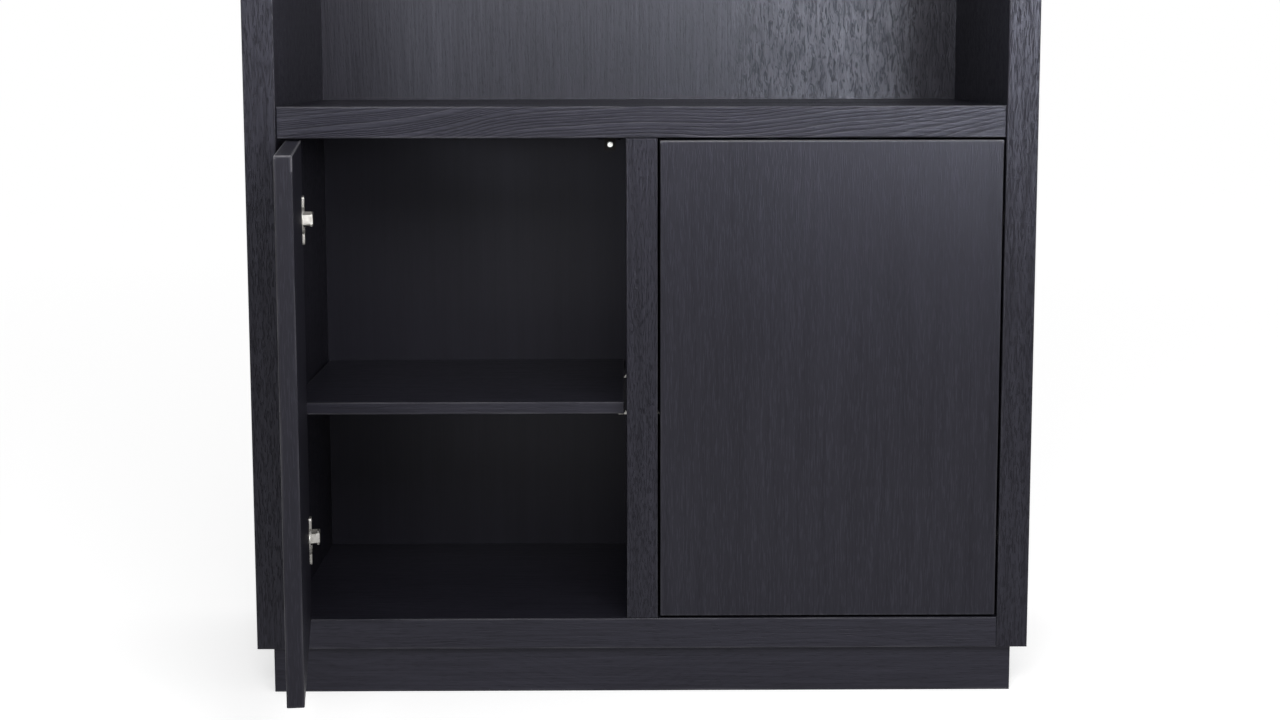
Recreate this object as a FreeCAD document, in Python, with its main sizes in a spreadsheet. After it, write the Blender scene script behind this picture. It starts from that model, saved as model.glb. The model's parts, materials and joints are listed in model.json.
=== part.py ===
import FreeCAD, Part
import os
import re
import Sketcher

# A tall bookcase: open shelves above, two flush doors below, on a recessed plinth.
# +Z is up, the front faces -Y, and the origin is the middle of the footprint on the floor.
# Every length is in millimetres.

SIZES = {
    # case
    "overall_width": "1000",
    "overall_depth": "450",
    "overall_height": "2100",
    "side_thickness": "40",
    "shelf_thickness": "40",
    "partition_thickness": "40",
    "back_thickness": "6",
    "edge_radius": "1.5",
    "shelf_setback": "4",
    "opening_height": "620",
    # plinth
    "plinth_height": "60",
    "plinth_side_inset": "20",
    "plinth_front_recess": "12",
    "plinth_back_recess": "30",
    "plinth_thickness": "18",
    "block_side": "40",
    "block_floor_gap": "3",
    "block_bore_depth": "30",
    # doors
    "door_thickness": "20",
    "door_gap": "3",
    "door_edge_radius": "1.5",
    "rest_angle": "83",
    # loose shelves and their pins
    "loose_thickness": "16",
    "loose_rise": "262",
    "loose_setback": "40",
    "loose_end_gap": "3",
    "loose_back_gap": "4",
    "system_line": "37",
    "pin_front_margin": "17",
    "pin_back_margin": "56",
    "pin_diameter": "5",
    "pin_length": "8",
    "pin_hole_depth": "10",
    "pin_upright_rise": "2",
    "pin_upright_thickness": "1.5",
    "pin_tongue_length": "9",
    "pin_tongue_width": "8",
    "pin_tongue_thickness": "2.6",
    "hole_pitch": "32",
    # knock-down fittings
    "dowel_diameter": "8",
    "dowel_in_side": "15",
    "dowel_in_shelf": "25",
    "dowel_line": "60",
    "bolt_line": "110",
    "bolt_height": "9",
    "bolt_thread_diameter": "5",
    "bolt_thread_length": "11",
    "bolt_diameter": "6",
    "bolt_overreach": "2",
    "cam_reach": "34",
    "cam_diameter": "15",
    "cam_depth": "13",
    "cam_slot_play": "0.5",
    "hole_end_gap": "1",
    "fixing_fit": "0.1",
    # wood screws
    "screw_diameter": "3.5",
    "sunk_head_diameter": "7",
    "sunk_head_height": "2",
    "pan_head_diameter": "6.5",
    "pan_head_height": "1.8",
    "back_screw_length": "28",
    "back_screw_spacing": "300",
    "plinth_screw_grip": "25",
    "plinth_screw_bore": "12",
    # concealed hinges
    "hinge_end_distance": "100",
    "side_clearance": "0.4",
    "cup_diameter": "35",
    "cup_edge_tab": "5",
    "cup_offset": "5",
    "cup_depth": "13",
    "cup_wall": "1",
    "cup_rim": "1.5",
    "flange_height": "62",
    "flange_width": "17",
    "flange_thickness": "1.2",
    "flange_pad": "1.6",
    "flange_corner_radius": "4",
    "flange_screw_margin": "7",
    "cup_screw_length": "12",
    "hinge_pin_diameter": "3",
    "pin_seat_fit": "0.02",
    "pin_running_fit": "0.05",
    "eye_wall": "1.1",
    "eye_clearance": "0.4",
    "arm_gauge": "2.5",
    "arm_width": "18",
    "neck_width": "12",
    "neck_cup_margin": "5.2",
    "arm_clearance": "0.8",
    "swing_clearance": "1",
    "arm_tail_margin": "9",
    "rib_height": "10.5",
    "rib_width": "14",
    "rib_margin": "10",
    "wing_thickness": "2",
    "wing_screw_margin": "8",
    "wing_width": "18",
    "plate_screw_spacing": "32",
    "plate_screw_length": "14",
    "arm_screw_diameter": "5",
    "arm_screw_head": "8",
    "arm_screw_head_height": "2.5",
    "arm_screw_length": "10",
    "arm_screw_fit": "0.2",
    "arm_screw_front": "10",
    "arm_screw_back": "14",
    # push latches
    "latch_distance": "20",
    "latch_drop": "9",
    "latch_width": "14",
    "latch_height": "16",
    "latch_length": "76",
    "latch_setback": "4",
    "plunger_play": "0.3",
    "latch_bore_depth": "70",
    "latch_ear_reach": "10",
    "latch_ear_thickness": "3",
    "latch_ear_length": "14",
    "latch_ear_offset": "30",
    "latch_screw_length": "15",
    "plunger_diameter": "7",
    "plunger_length": "40",
    "plunger_door_gap": "0.3",
    "plunger_tip_radius": "1.5",
    "spring_wire": "0.8",
    "spring_end_gap": "0.3",
    "spring_turns": "9",
    # tip restraint
    "bracket_width": "40",
    "bracket_reach": "30",
    "bracket_drop": "40",
    "bracket_gauge": "2",
    "bracket_screw_margin": "8",
    "bracket_screw_length": "18",
    "wall_hole_diameter": "6",
    "wall_hole_drop": "24",
}

# Places that follow from the sizes above.
PLACES = {
    "front_plane": "-overall_depth / 2",
    "back_plane": "overall_depth / 2",
    "back_face": "back_plane - back_thickness",
    "inner_half": "overall_width / 2 - side_thickness",
    "partition_half": "partition_thickness / 2",
    "bay_width": "inner_half - partition_half",
    "floor_top": "plinth_height + shelf_thickness",
    "opening_top": "floor_top + opening_height",
    "middle_top": "opening_top + shelf_thickness",
    "case_top": "overall_height - shelf_thickness",
    "open_height": "(case_top - middle_top - 2 * shelf_thickness) / 3",
    "door_width": "bay_width - 2 * door_gap",
    "door_height": "opening_height - 2 * door_gap",
    "door_middle": "floor_top + opening_height / 2",
    "eye_diameter": "hinge_pin_diameter + 2 * eye_wall",
    "door_back": "cup_depth - cup_wall - eye_diameter / 2 - eye_clearance",
    "pivot_depth": "door_thickness - door_back",
    "swing_room": "door_gap - side_clearance",
    "swing_depth": "pivot_depth - door_edge_radius",
    "swing_inset": "(swing_depth ^ 2 - swing_room ^ 2) / (2 * swing_room) + door_edge_radius",
    "pivot_inset": "max(swing_inset; cup_diameter / 2 + cup_edge_tab - cup_offset)",
    "hinge_level": "door_height / 2 - hinge_end_distance",
    "pivot_reach": "door_gap + pivot_inset",
    "cup_inner_radius": "cup_diameter / 2 - cup_wall",
    "hinge_pin_length": "2 * sqrt(cup_inner_radius ^ 2 - cup_offset ^ 2) + cup_wall",
    "cup_screw_spacing": "flange_height - 2 * flange_screw_margin",
    "flange_back": "door_back + flange_thickness",
    "pad_back": "flange_back + flange_pad",
    "saddle_half": "arm_width / 2 + arm_clearance",
    "rim_radius": "cup_diameter / 2 + cup_rim",
    "fixing_line": "door_thickness + system_line",
    "pin_axis_rise": "loose_rise - pin_diameter / 2",
    "pin_reach": "pin_tongue_length + pin_upright_thickness",
    "pin_upright_height": "pin_tongue_thickness + pin_upright_rise",
    "corner_swing": "sqrt(pivot_inset ^ 2 + max(pivot_depth; door_back) ^ 2)",
    "arm_return": "pivot_depth + corner_swing + swing_clearance",
    "neck_exit": "cup_offset + cup_inner_radius - neck_cup_margin",
    "neck_angle": "atan(flange_back / neck_exit)",
    "nose_front": "door_thickness + flange_thickness + arm_clearance",
    "neck_length": "(nose_front + arm_gauge / 2 - pivot_depth) / sin(neck_angle)",
    "arm_nose": "pivot_reach + neck_length * cos(neck_angle)",
    "arm_tail_end": "fixing_line + arm_screw_back + arm_tail_margin",
    "rib_front": "fixing_line - arm_screw_front - rib_margin",
    "rib_length": "arm_screw_front + arm_screw_back + 2 * rib_margin",
    "wing_height": "plate_screw_spacing + 2 * wing_screw_margin",
    "arm_face": "rib_height + arm_gauge",
    "latch_front": "front_plane + door_thickness + latch_setback",
    "latch_axis": "opening_top - latch_drop",
    "latch_bore_diameter": "plunger_diameter + 2 * plunger_play",
    "latch_ear_width": "latch_width + 2 * latch_ear_reach",
    "latch_screw_spacing": "latch_width + latch_ear_reach",
    "plunger_front": "front_plane + door_thickness + plunger_door_gap",
    "spring_length": "latch_front + latch_bore_depth - plunger_front - plunger_length - 2 * spring_end_gap",
    "spring_radius": "latch_bore_diameter / 2 - spring_wire / 2 - spring_end_gap",
    "plinth_half": "overall_width / 2 - plinth_side_inset",
    "plinth_front": "front_plane + plinth_front_recess",
    "plinth_back": "back_plane - plinth_back_recess",
    "plinth_screw_seat": "block_floor_gap + block_bore_depth",
    "plinth_screw_length": "plinth_height - plinth_screw_seat + plinth_screw_grip",
    "bracket_screw_spacing": "bracket_width - 2 * bracket_screw_margin",
}

LEFT, RIGHT = -1, 1
HANDS = {"left": LEFT, "right": RIGHT}
PIN_ROWS = (-2, -1, 0, 1, 2)
FLAT = 0.001

# How a sketch numbers its own origin point and the centre of the first circle drawn in it.
SKETCH_ORIGIN = (-1, 1)
CIRCLE_CENTRE = (0, 3)

# A half turn about the depth axis, which makes a left-hand piece a right-hand one.
MID_HEIGHT_FLIP = FreeCAD.Rotation(FreeCAD.Vector(0, 1, 0), 180)

# A turn about the upright axis; a size on the sheet then sets its angle.
UPRIGHT_TURN = FreeCAD.Rotation(FreeCAD.Vector(0, 0, 1), 1)

# The turn that takes a piece made along +Z to each way it can point.
WAYS = {
    "+x": FreeCAD.Rotation(FreeCAD.Vector(0, 1, 0), 90),
    "-x": FreeCAD.Rotation(FreeCAD.Vector(0, 1, 0), -90),
    "+y": FreeCAD.Rotation(FreeCAD.Vector(1, 0, 0), -90),
    "-y": FreeCAD.Rotation(FreeCAD.Vector(1, 0, 0), 90),
    "+z": FreeCAD.Rotation(),
    "-z": FreeCAD.Rotation(FreeCAD.Vector(1, 0, 0), 180),
}
INWARD = {LEFT: "+x", RIGHT: "-x"}
OUTWARD = {LEFT: "-x", RIGHT: "+x"}

doc = FreeCAD.newDocument("bookcase")
sheet = doc.addObject("Spreadsheet::Sheet", "sizes")
for row, (alias, value) in enumerate(SIZES.items(), start=1):
    sheet.set(f"A{row}", alias)
    sheet.set(f"B{row}", value)
    sheet.setAlias(f"B{row}", alias)
for row, (alias, formula) in enumerate(PLACES.items(), start=1):
    sheet.set(f"C{row}", alias)
    sheet.set(f"D{row}", "=" + formula)
    sheet.setAlias(f"D{row}", alias)
doc.recompute()

nodes = []


def bound(text):
    """An expression in which every size name, a word with an underscore, points at the sheet."""
    return re.sub(r"[a-z]+(?:_[a-z]+)+", r"sizes.\g<0>", str(text))


def bind(item, **values):
    """Tie properties of an item to expressions on the sheet."""
    for name, text in values.items():
        item.setExpression(name, bound(text))


def place(item, point, turn=FreeCAD.Rotation()):
    """Put an item's own origin at a point whose coordinates are expressions, turned as given."""
    item.Placement = FreeCAD.Placement(FreeCAD.Vector(), turn)
    for axis, text in zip("xyz", point):
        item.setExpression(f"Placement.Base.{axis}", bound(text))


def moved(point, way, amount):
    """The point that lies an amount further along a way."""
    index = "xyz".index(way[1])
    shifted = list(point)
    shifted[index] = f"{point[index]} {way[0]} ({amount})"
    return shifted


def box(name, size, corner):
    item = doc.addObject("Part::Box", name)
    bind(item, Length=size[0], Width=size[1], Height=size[2])
    place(item, corner)
    return item


def rod(name, diameter, length, start, way):
    item = doc.addObject("Part::Cylinder", name)
    bind(item, Radius=f"({diameter}) / 2", Height=length)
    place(item, start, WAYS[way])
    return item


def taper(name, wide, narrow, length, start, way):
    item = doc.addObject("Part::Cone", name)
    bind(item, Radius1=f"({wide}) / 2", Radius2=f"({narrow}) / 2", Height=length)
    place(item, start, WAYS[way])
    return item


def joined(name, items):
    item = doc.addObject("Part::MultiFuse", name)
    item.Shapes = items
    return item


def drilled(name, base, tools):
    """A piece with a group of tools taken out of it."""
    item = doc.addObject("Part::Cut", name)
    item.Base = base
    item.Tool = joined(f"{name}_tools", tools) if len(tools) > 1 else tools[0]
    return item


def group(name, items):
    item = doc.addObject("Part::Compound", name)
    item.Links = items
    return item


def keep(label, item):
    """Name a finished piece, or a group of like pieces, and keep it for writing."""
    item.Label = label
    nodes.append(item)
    return item


def hole(name, start, way, depth, diameter="screw_diameter"):
    """A drilled hole for a fixing of the given diameter, with the fixing's clearance round it."""
    return rod(name, f"{diameter} + 2 * fixing_fit", f"{depth} + hole_end_gap", start, way)


def sunk_screw(name, length, head, way):
    """A countersunk screw whose flat head is centred on a point and whose tip points along a way."""
    cone = taper(f"{name}_head", "sunk_head_diameter", "screw_diameter", "sunk_head_height", head, way)
    shank_start = moved(head, way, "sunk_head_height")
    shank = rod(f"{name}_shank", "screw_diameter", f"{length} - sunk_head_height", shank_start, way)
    return joined(name, [cone, shank])


def sunk_seat(name, length, head, way):
    """The tools that make the seat and the hole of a countersunk screw."""
    wide = "sunk_head_diameter + 2 * fixing_fit"
    narrow = "screw_diameter + 2 * fixing_fit"
    return [
        taper(f"{name}_sink", wide, narrow, "sunk_head_height", head, way),
        hole(f"{name}_hole", moved(head, way, "sunk_head_height"), way, f"{length} - sunk_head_height"),
    ]


def pan_screw(name, length, seat, way, shank="screw_diameter", head="pan_head_diameter",
              head_height="pan_head_height"):
    """A pan-head screw: the head stands on its seat and the shank goes along a way."""
    head_start = moved(seat, way, f"-1 * {head_height}")
    return joined(name, [
        rod(f"{name}_head", head, head_height, head_start, way),
        rod(f"{name}_shank", shank, length, seat, way),
    ])


def board(name, size, corner, radius=None, front_only=True):
    """A flat board; its front edges, or all its edges, are eased with a radius."""
    body = doc.addObject("PartDesign::Body", name)
    blank = body.newObject("PartDesign::AdditiveBox", f"{name}_blank")
    bind(blank, Length=size[0], Width=size[1], Height=size[2])
    place(blank, corner)
    if radius:
        doc.recompute()
        front = blank.Shape.BoundBox.YMin
        eased = body.newObject("PartDesign::Fillet", f"{name}_eased")
        eased.Base = (blank, [
            f"Edge{number}"
            for number, edge in enumerate(blank.Shape.Edges, start=1)
            if not front_only or edge.BoundBox.YMax - front < FLAT
        ])
        bind(eased, Radius=radius)
    return body


def hang_on_side(item, hand):
    """Place a piece drawn from a side panel's inner face, the front plane and the doors' mid height."""
    turn = FreeCAD.Rotation() if hand == LEFT else MID_HEIGHT_FLIP
    place(item, (f"{hand} * inner_half", "front_plane", "door_middle"), turn)
    return item


def hang_on_pivot(item, hand):
    """Place a door piece drawn from its pivot: the left door stands open, the right one is closed."""
    pivot = (f"{hand} * (inner_half - pivot_reach)", "front_plane + pivot_depth", "door_middle")
    if hand == RIGHT:
        place(item, pivot, MID_HEIGHT_FLIP)
        return item
    place(item, pivot, UPRIGHT_TURN)
    bind(item, **{"Placement.Rotation.Angle": "-1 * rest_angle"})
    return item


# Lines along which fittings lie, from the front and from the back.
DOWEL_LINES = ("front_plane + dowel_line", "back_plane - dowel_line")
BOLT_LINES = ("front_plane + bolt_line", "back_plane - bolt_line")
PIN_LINES = ("front_plane + loose_setback + pin_front_margin",
             "back_face - loose_back_gap - pin_back_margin")
BACK_SCREW_PLACES = ("-1 * back_screw_spacing", "0", "back_screw_spacing")

# The boards between the sides: underside, distance behind the front plane, back edge.
LEVELS = {
    "bottom_panel": ("plinth_height", "0", "back_plane"),
    "middle_shelf": ("opening_top", "shelf_setback", "back_face"),
    "lower_open_shelf": ("middle_top + open_height", "shelf_setback", "back_face"),
    "upper_open_shelf": ("middle_top + 2 * open_height + shelf_thickness", "shelf_setback", "back_face"),
    "top_panel": ("case_top", "0", "back_plane"),
}
SCREWED_SHELVES = ("middle_shelf", "lower_open_shelf", "upper_open_shelf")

side_tools = {LEFT: [], RIGHT: []}
level_tools = {name: [] for name in LEVELS}
partition_tools = []
back_tools = []


def fit_level(name, underside):
    """The dowels, cam bolts and cams that fix both ends of one board, and the holes they need."""
    dowels, bolts, cams = [], [], []
    for hand in (LEFT, RIGHT):
        inward, outward = INWARD[hand], OUTWARD[hand]
        end = f"{hand} * inner_half"
        for number, line in enumerate(DOWEL_LINES):
            tag = f"{name}_dowel_{hand + 1}{number}"
            seat = (end, line, f"{underside} + shelf_thickness / 2")
            start = moved(seat, outward, "dowel_in_side")
            dowels.append(rod(tag, "dowel_diameter", "dowel_in_side + dowel_in_shelf", start, inward))
            side_tools[hand].append(hole(f"{tag}_side", seat, outward, "dowel_in_side", "dowel_diameter"))
            level_tools[name].append(hole(f"{tag}_end", seat, inward, "dowel_in_shelf", "dowel_diameter"))
        for number, line in enumerate(BOLT_LINES):
            tag = f"{name}_bolt_{hand + 1}{number}"
            seat = (end, line, f"{underside} + bolt_height")
            bolt_length = "cam_reach + bolt_overreach"
            bolts.append(joined(tag, [
                rod(f"{tag}_thread", "bolt_thread_diameter", "bolt_thread_length", seat, outward),
                rod(f"{tag}_shank", "bolt_diameter", bolt_length, seat, inward),
            ]))
            thread_hole = hole(f"{tag}_side", seat, outward, "bolt_thread_length", "bolt_thread_diameter")
            side_tools[hand].append(thread_hole)
            centre = moved((end, line, underside), inward, "cam_reach")
            pocket = hole(f"{tag}_pocket", centre, "+z", "cam_depth", "cam_diameter")
            level_tools[name].append(pocket)
            level_tools[name].append(hole(f"{tag}_end", seat, inward, bolt_length, "bolt_diameter"))
            disc = rod(f"{tag}_disc", "cam_diameter", "cam_depth", centre, "+z")
            slot = rod(f"{tag}_slot", "bolt_diameter + 2 * cam_slot_play",
                       f"{bolt_length} + cam_slot_play", seat, inward)
            cams.append(drilled(f"{tag}_cam", disc, [slot]))
    return dowels, bolts, cams


def fit_partition():
    """The dowels between the partition and the boards above and below it, and their holes."""
    dowels = []
    for name, level, up, down in (("middle_shelf", "opening_top", "+z", "-z"),
                                  ("bottom_panel", "floor_top", "-z", "+z")):
        for number, line in enumerate(DOWEL_LINES):
            tag = f"partition_{name}_dowel_{number}"
            seat = ("0", line, level)
            start = moved(seat, up, "dowel_in_side")
            dowels.append(rod(tag, "dowel_diameter", "dowel_in_side + dowel_in_shelf", start, down))
            level_tools[name].append(hole(f"{tag}_board", seat, up, "dowel_in_side", "dowel_diameter"))
            partition_tools.append(hole(f"{tag}_end", seat, down, "dowel_in_shelf", "dowel_diameter"))
    return dowels


def fit_back():
    """The screws that hold the back panel to the shelves and the partition, and their holes."""
    seats = []
    for name in SCREWED_SHELVES:
        for number, x in enumerate(BACK_SCREW_PLACES):
            height = f"{LEVELS[name][0]} + shelf_thickness / 2"
            seats.append((f"{name}_screw_{number}", (x, "back_plane", height), level_tools[name]))
    for number, height in enumerate(("floor_top + opening_height / 4", "opening_top - opening_height / 4")):
        seats.append((f"partition_screw_{number}", ("0", "back_plane", height), partition_tools))
    screws = []
    for tag, head, tools in seats:
        screws.append(sunk_screw(tag, "back_screw_length", head, "-y"))
        back_tools.extend(sunk_seat(f"{tag}_seat", "back_screw_length", head, "-y"))
        face = (head[0], "back_face", head[2])
        tools.append(hole(f"{tag}_pilot", face, "-y", "back_screw_length - back_thickness"))
    return screws


def make_fittings():
    dowels, bolts, cams = [], [], []
    for name, (underside, _, _) in LEVELS.items():
        more_dowels, more_bolts, more_cams = fit_level(name, underside)
        dowels += more_dowels
        bolts += more_bolts
        cams += more_cams
    dowels += fit_partition()
    keep("dowels", group("dowels", dowels))
    keep("cam_bolts", group("cam_bolts", bolts))
    keep("cam_discs", group("cam_discs", cams))
    keep("back_panel_screws", group("back_panel_screws", fit_back()))


def make_plinth():
    """Four rails and a cross rail on the floor, with glue blocks screwed up into the bottom panel."""
    across = "2 * plinth_half"
    between = "plinth_back - plinth_front - 2 * plinth_thickness"
    inner_front = "plinth_front + plinth_thickness"
    rails = {
        "plinth_front_rail": ((across, "plinth_thickness"), ("-plinth_half", "plinth_front")),
        "plinth_back_rail": ((across, "plinth_thickness"),
                             ("-plinth_half", "plinth_back - plinth_thickness")),
        "plinth_left_rail": (("plinth_thickness", between), ("-plinth_half", inner_front)),
        "plinth_right_rail": (("plinth_thickness", between),
                              ("plinth_half - plinth_thickness", inner_front)),
        "plinth_cross_rail": (("plinth_thickness", between), ("-plinth_thickness / 2", inner_front)),
    }
    for name, (size, corner) in rails.items():
        keep(name, board(name, (*size, "plinth_height"), (*corner, "0")))

    blocks, screws = [], []
    inset = "plinth_thickness + block_side / 2"
    places = {"front": f"plinth_front + {inset}", "back": f"plinth_back - ({inset})"}
    for side, hand in HANDS.items():
        for end, y in places.items():
            tag = f"plinth_{side}_{end}"
            x = f"{hand} * (plinth_half - ({inset}))"
            blank = box(f"{tag}_blank", ("block_side", "block_side", "plinth_height - block_floor_gap"),
                        (f"{x} - block_side / 2", f"{y} - block_side / 2", "block_floor_gap"))
            seat = (x, y, "plinth_screw_seat")
            bore = rod(f"{tag}_bore", "plinth_screw_bore", "block_bore_depth",
                       (x, y, "block_floor_gap"), "+z")
            shank_hole = hole(f"{tag}_hole", seat, "+z", "plinth_screw_length")
            blocks.append(drilled(f"{tag}_block", blank, [bore, shank_hole]))
            screws.append(pan_screw(f"{tag}_screw", "plinth_screw_length", seat, "+z"))
            pilot = hole(f"{tag}_pilot", (x, y, "plinth_height"), "+z", "plinth_screw_grip")
            level_tools["bottom_panel"].append(pilot)
    keep("plinth_corner_blocks", group("plinth_corner_blocks", blocks))
    keep("plinth_screws", group("plinth_screws", screws))


def make_wall_bracket():
    """A steel angle under the top panel, with a hole through which a screw goes into the wall."""
    shelf_leg = box("bracket_shelf_leg", ("bracket_width", "bracket_reach", "bracket_gauge"),
                    ("-bracket_width / 2", "back_face - bracket_reach", "case_top - bracket_gauge"))
    wall_leg = box("bracket_wall_leg", ("bracket_width", "bracket_gauge", "bracket_drop"),
                   ("-bracket_width / 2", "back_face - bracket_gauge", "case_top - bracket_drop"))
    wall_start = ("0", "back_face - bracket_gauge", "case_top - wall_hole_drop")
    through = "bracket_gauge + back_thickness"
    tools = [rod("bracket_wall_hole", "wall_hole_diameter", through, wall_start, "+y")]
    back_tools.append(rod("back_wall_hole", "wall_hole_diameter", through, wall_start, "+y"))
    screws = []
    for number, sign in enumerate((LEFT, RIGHT)):
        tag = f"bracket_screw_{number}"
        seat = (f"{sign} * bracket_screw_spacing / 2", "back_face - bracket_reach / 2",
                "case_top - bracket_gauge")
        screws.append(pan_screw(tag, "bracket_screw_length", seat, "+z"))
        tools.append(hole(f"{tag}_hole", seat, "+z", "bracket_screw_length"))
        grip = "bracket_screw_length - bracket_gauge"
        level_tools["top_panel"].append(hole(f"{tag}_pilot", (*seat[:2], "case_top"), "+z", grip))
    angle = joined("bracket_angle", [shelf_leg, wall_leg])
    keep("wall_bracket", drilled("wall_bracket", angle, tools))
    keep("wall_bracket_screws", group("wall_bracket_screws", screws))


def make_latch(side, hand):
    """A push latch under the middle shelf: housing, sprung plunger, its spring and two screws."""
    x = f"{hand} * (partition_half + latch_distance)"
    mouth = (x, "latch_front", "latch_axis")
    shell = joined(f"{side}_latch_shell", [
        box(f"{side}_latch_case", ("latch_width", "latch_length", "latch_height"),
            (f"{x} - latch_width / 2", "latch_front", "opening_top - latch_height")),
        box(f"{side}_latch_ears", ("latch_ear_width", "latch_ear_length", "latch_ear_thickness"),
            (f"{x} - latch_ear_width / 2", "latch_front + latch_ear_offset",
             "opening_top - latch_ear_thickness")),
    ])
    tools = [rod(f"{side}_latch_bore", "latch_bore_diameter", "latch_bore_depth", mouth, "+y")]
    screws = []
    for number, sign in enumerate((LEFT, RIGHT)):
        tag = f"{side}_latch_screw_{number}"
        seat = (f"{x} + {sign} * latch_screw_spacing / 2",
                "latch_front + latch_ear_offset + latch_ear_length / 2",
                "opening_top - latch_ear_thickness")
        screws.append(pan_screw(tag, "latch_screw_length", seat, "+z"))
        tools.append(hole(f"{tag}_hole", seat, "+z", "latch_screw_length"))
        grip = "latch_screw_length - latch_ear_thickness"
        level_tools["middle_shelf"].append(hole(f"{tag}_pilot", (*seat[:2], "opening_top"), "+z", grip))
    keep(f"{side}_latch_housing", drilled(f"{side}_latch_housing", shell, tools))
    keep(f"{side}_latch_screws", group(f"{side}_latch_screws", screws))

    plunger = doc.addObject("PartDesign::Body", f"{side}_latch_plunger")
    stem = plunger.newObject("PartDesign::AdditiveCylinder", f"{side}_plunger_stem")
    bind(stem, Radius="plunger_diameter / 2", Height="plunger_length")
    doc.recompute()
    tip = plunger.newObject("PartDesign::Fillet", f"{side}_plunger_tip")
    tip.Base = (stem, [
        f"Edge{number}"
        for number, edge in enumerate(stem.Shape.Edges, start=1)
        if edge.BoundBox.ZMax < stem.Shape.BoundBox.Center.z
    ])
    bind(tip, Radius="plunger_tip_radius")
    place(plunger, (x, "plunger_front", "latch_axis"), WAYS["+y"])
    keep(f"{side}_latch_plunger", plunger)

    spring = doc.addObject("PartDesign::Body", f"{side}_latch_spring")
    wire = spring.newObject("Sketcher::SketchObject", f"{side}_spring_wire")
    planes = {plane.Role: plane for plane in spring.Origin.OriginFeatures}
    wire.AttachmentSupport = [(planes["XZ_Plane"], "")]
    wire.MapMode = "FlatFace"
    radius = sheet.get("spring_radius")
    half_wire = sheet.get("spring_wire") / 2
    circle = Part.Circle(FreeCAD.Vector(radius, half_wire, 0), FreeCAD.Vector(0, 0, 1), half_wire)
    ring = wire.addGeometry(circle, False)
    ends = (*SKETCH_ORIGIN, *CIRCLE_CENTRE)
    across = wire.addConstraint(Sketcher.Constraint("DistanceX", *ends, radius))
    along = wire.addConstraint(Sketcher.Constraint("DistanceY", *ends, half_wire))
    thick = wire.addConstraint(Sketcher.Constraint("Radius", ring, half_wire))
    bind(wire, **{f"Constraints[{across}]": "spring_radius", f"Constraints[{along}]": "spring_wire / 2",
                  f"Constraints[{thick}]": "spring_wire / 2"})
    coil = spring.newObject("PartDesign::AdditiveHelix", f"{side}_spring_coil")
    coil.Profile = wire
    coil.ReferenceAxis = (wire, ["V_Axis"])
    coil.Mode = "height-turns-angle"
    bind(coil, Height="spring_length - spring_wire", Turns="spring_turns")
    place(spring, (x, "plunger_front + plunger_length + spring_end_gap", "latch_axis"), WAYS["+y"])
    keep(f"{side}_latch_spring", spring)


def make_hinge_fixings(side, hand):
    """The fixed half of both hinges: plates screwed to the side panel and the cranked arms on them."""
    plates, plate_screws, arms, arm_screws = [], [], [], []
    for number, level in enumerate(("hinge_level", "-1 * hinge_level")):
        tag = f"{side}_hinge_{number}"
        wing = box(f"{tag}_wing", ("wing_thickness", "wing_width", "wing_height"),
                   ("0", "fixing_line - wing_width / 2", f"{level} - wing_height / 2"))
        rib = box(f"{tag}_rib", ("rib_height", "rib_length", "rib_width"),
                  ("0", "rib_front", f"{level} - rib_width / 2"))
        plate_tools = []
        for sign in (LEFT, RIGHT):
            head = ("wing_thickness", "fixing_line", f"{level} + {sign} * plate_screw_spacing / 2")
            screw = f"{tag}_plate_screw_{sign + 1}"
            plate_screws.append(sunk_screw(screw, "plate_screw_length", head, "-x"))
            plate_tools += sunk_seat(f"{screw}_seat", "plate_screw_length", head, "-x")
            height = f"door_middle + {level} + {sign} * plate_screw_spacing / 2"
            side_tools[hand].append(hole(
                f"{screw}_pilot", (f"{hand} * inner_half", "front_plane + fixing_line", height),
                OUTWARD[hand], "plate_screw_length - wing_thickness"))
        arm_seats = [("arm_face", f"fixing_line + {offset}", level)
                     for offset in ("-1 * arm_screw_front", "arm_screw_back")]
        arm_tools = []
        for place_number, seat in enumerate(arm_seats):
            screw = f"{tag}_arm_screw_{place_number}"
            arm_screws.append(pan_screw(screw, "arm_screw_length", seat, "-x", "arm_screw_diameter",
                                        "arm_screw_head", "arm_screw_head_height"))
            loose = "arm_screw_diameter + 2 * arm_screw_fit"
            arm_tools.append(rod(f"{screw}_arm_hole", loose, "arm_gauge", seat, "-x"))
            plate_tools.append(hole(f"{screw}_plate_hole", ("rib_height", *seat[1:]), "-x",
                                    "arm_screw_length - arm_gauge", "arm_screw_diameter"))
        plates.append(drilled(f"{tag}_plate", joined(f"{tag}_plate_blank", [wing, rib]), plate_tools))
        arms.append(make_arm(tag, level, arm_tools))
    for name, items in (("hinge_plates", plates), ("hinge_plate_screws", plate_screws),
                        ("hinge_arms", arms), ("hinge_arm_screws", arm_screws)):
        keep(f"{side}_{name}", hang_on_side(group(f"{side}_{name}", items), hand))


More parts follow.
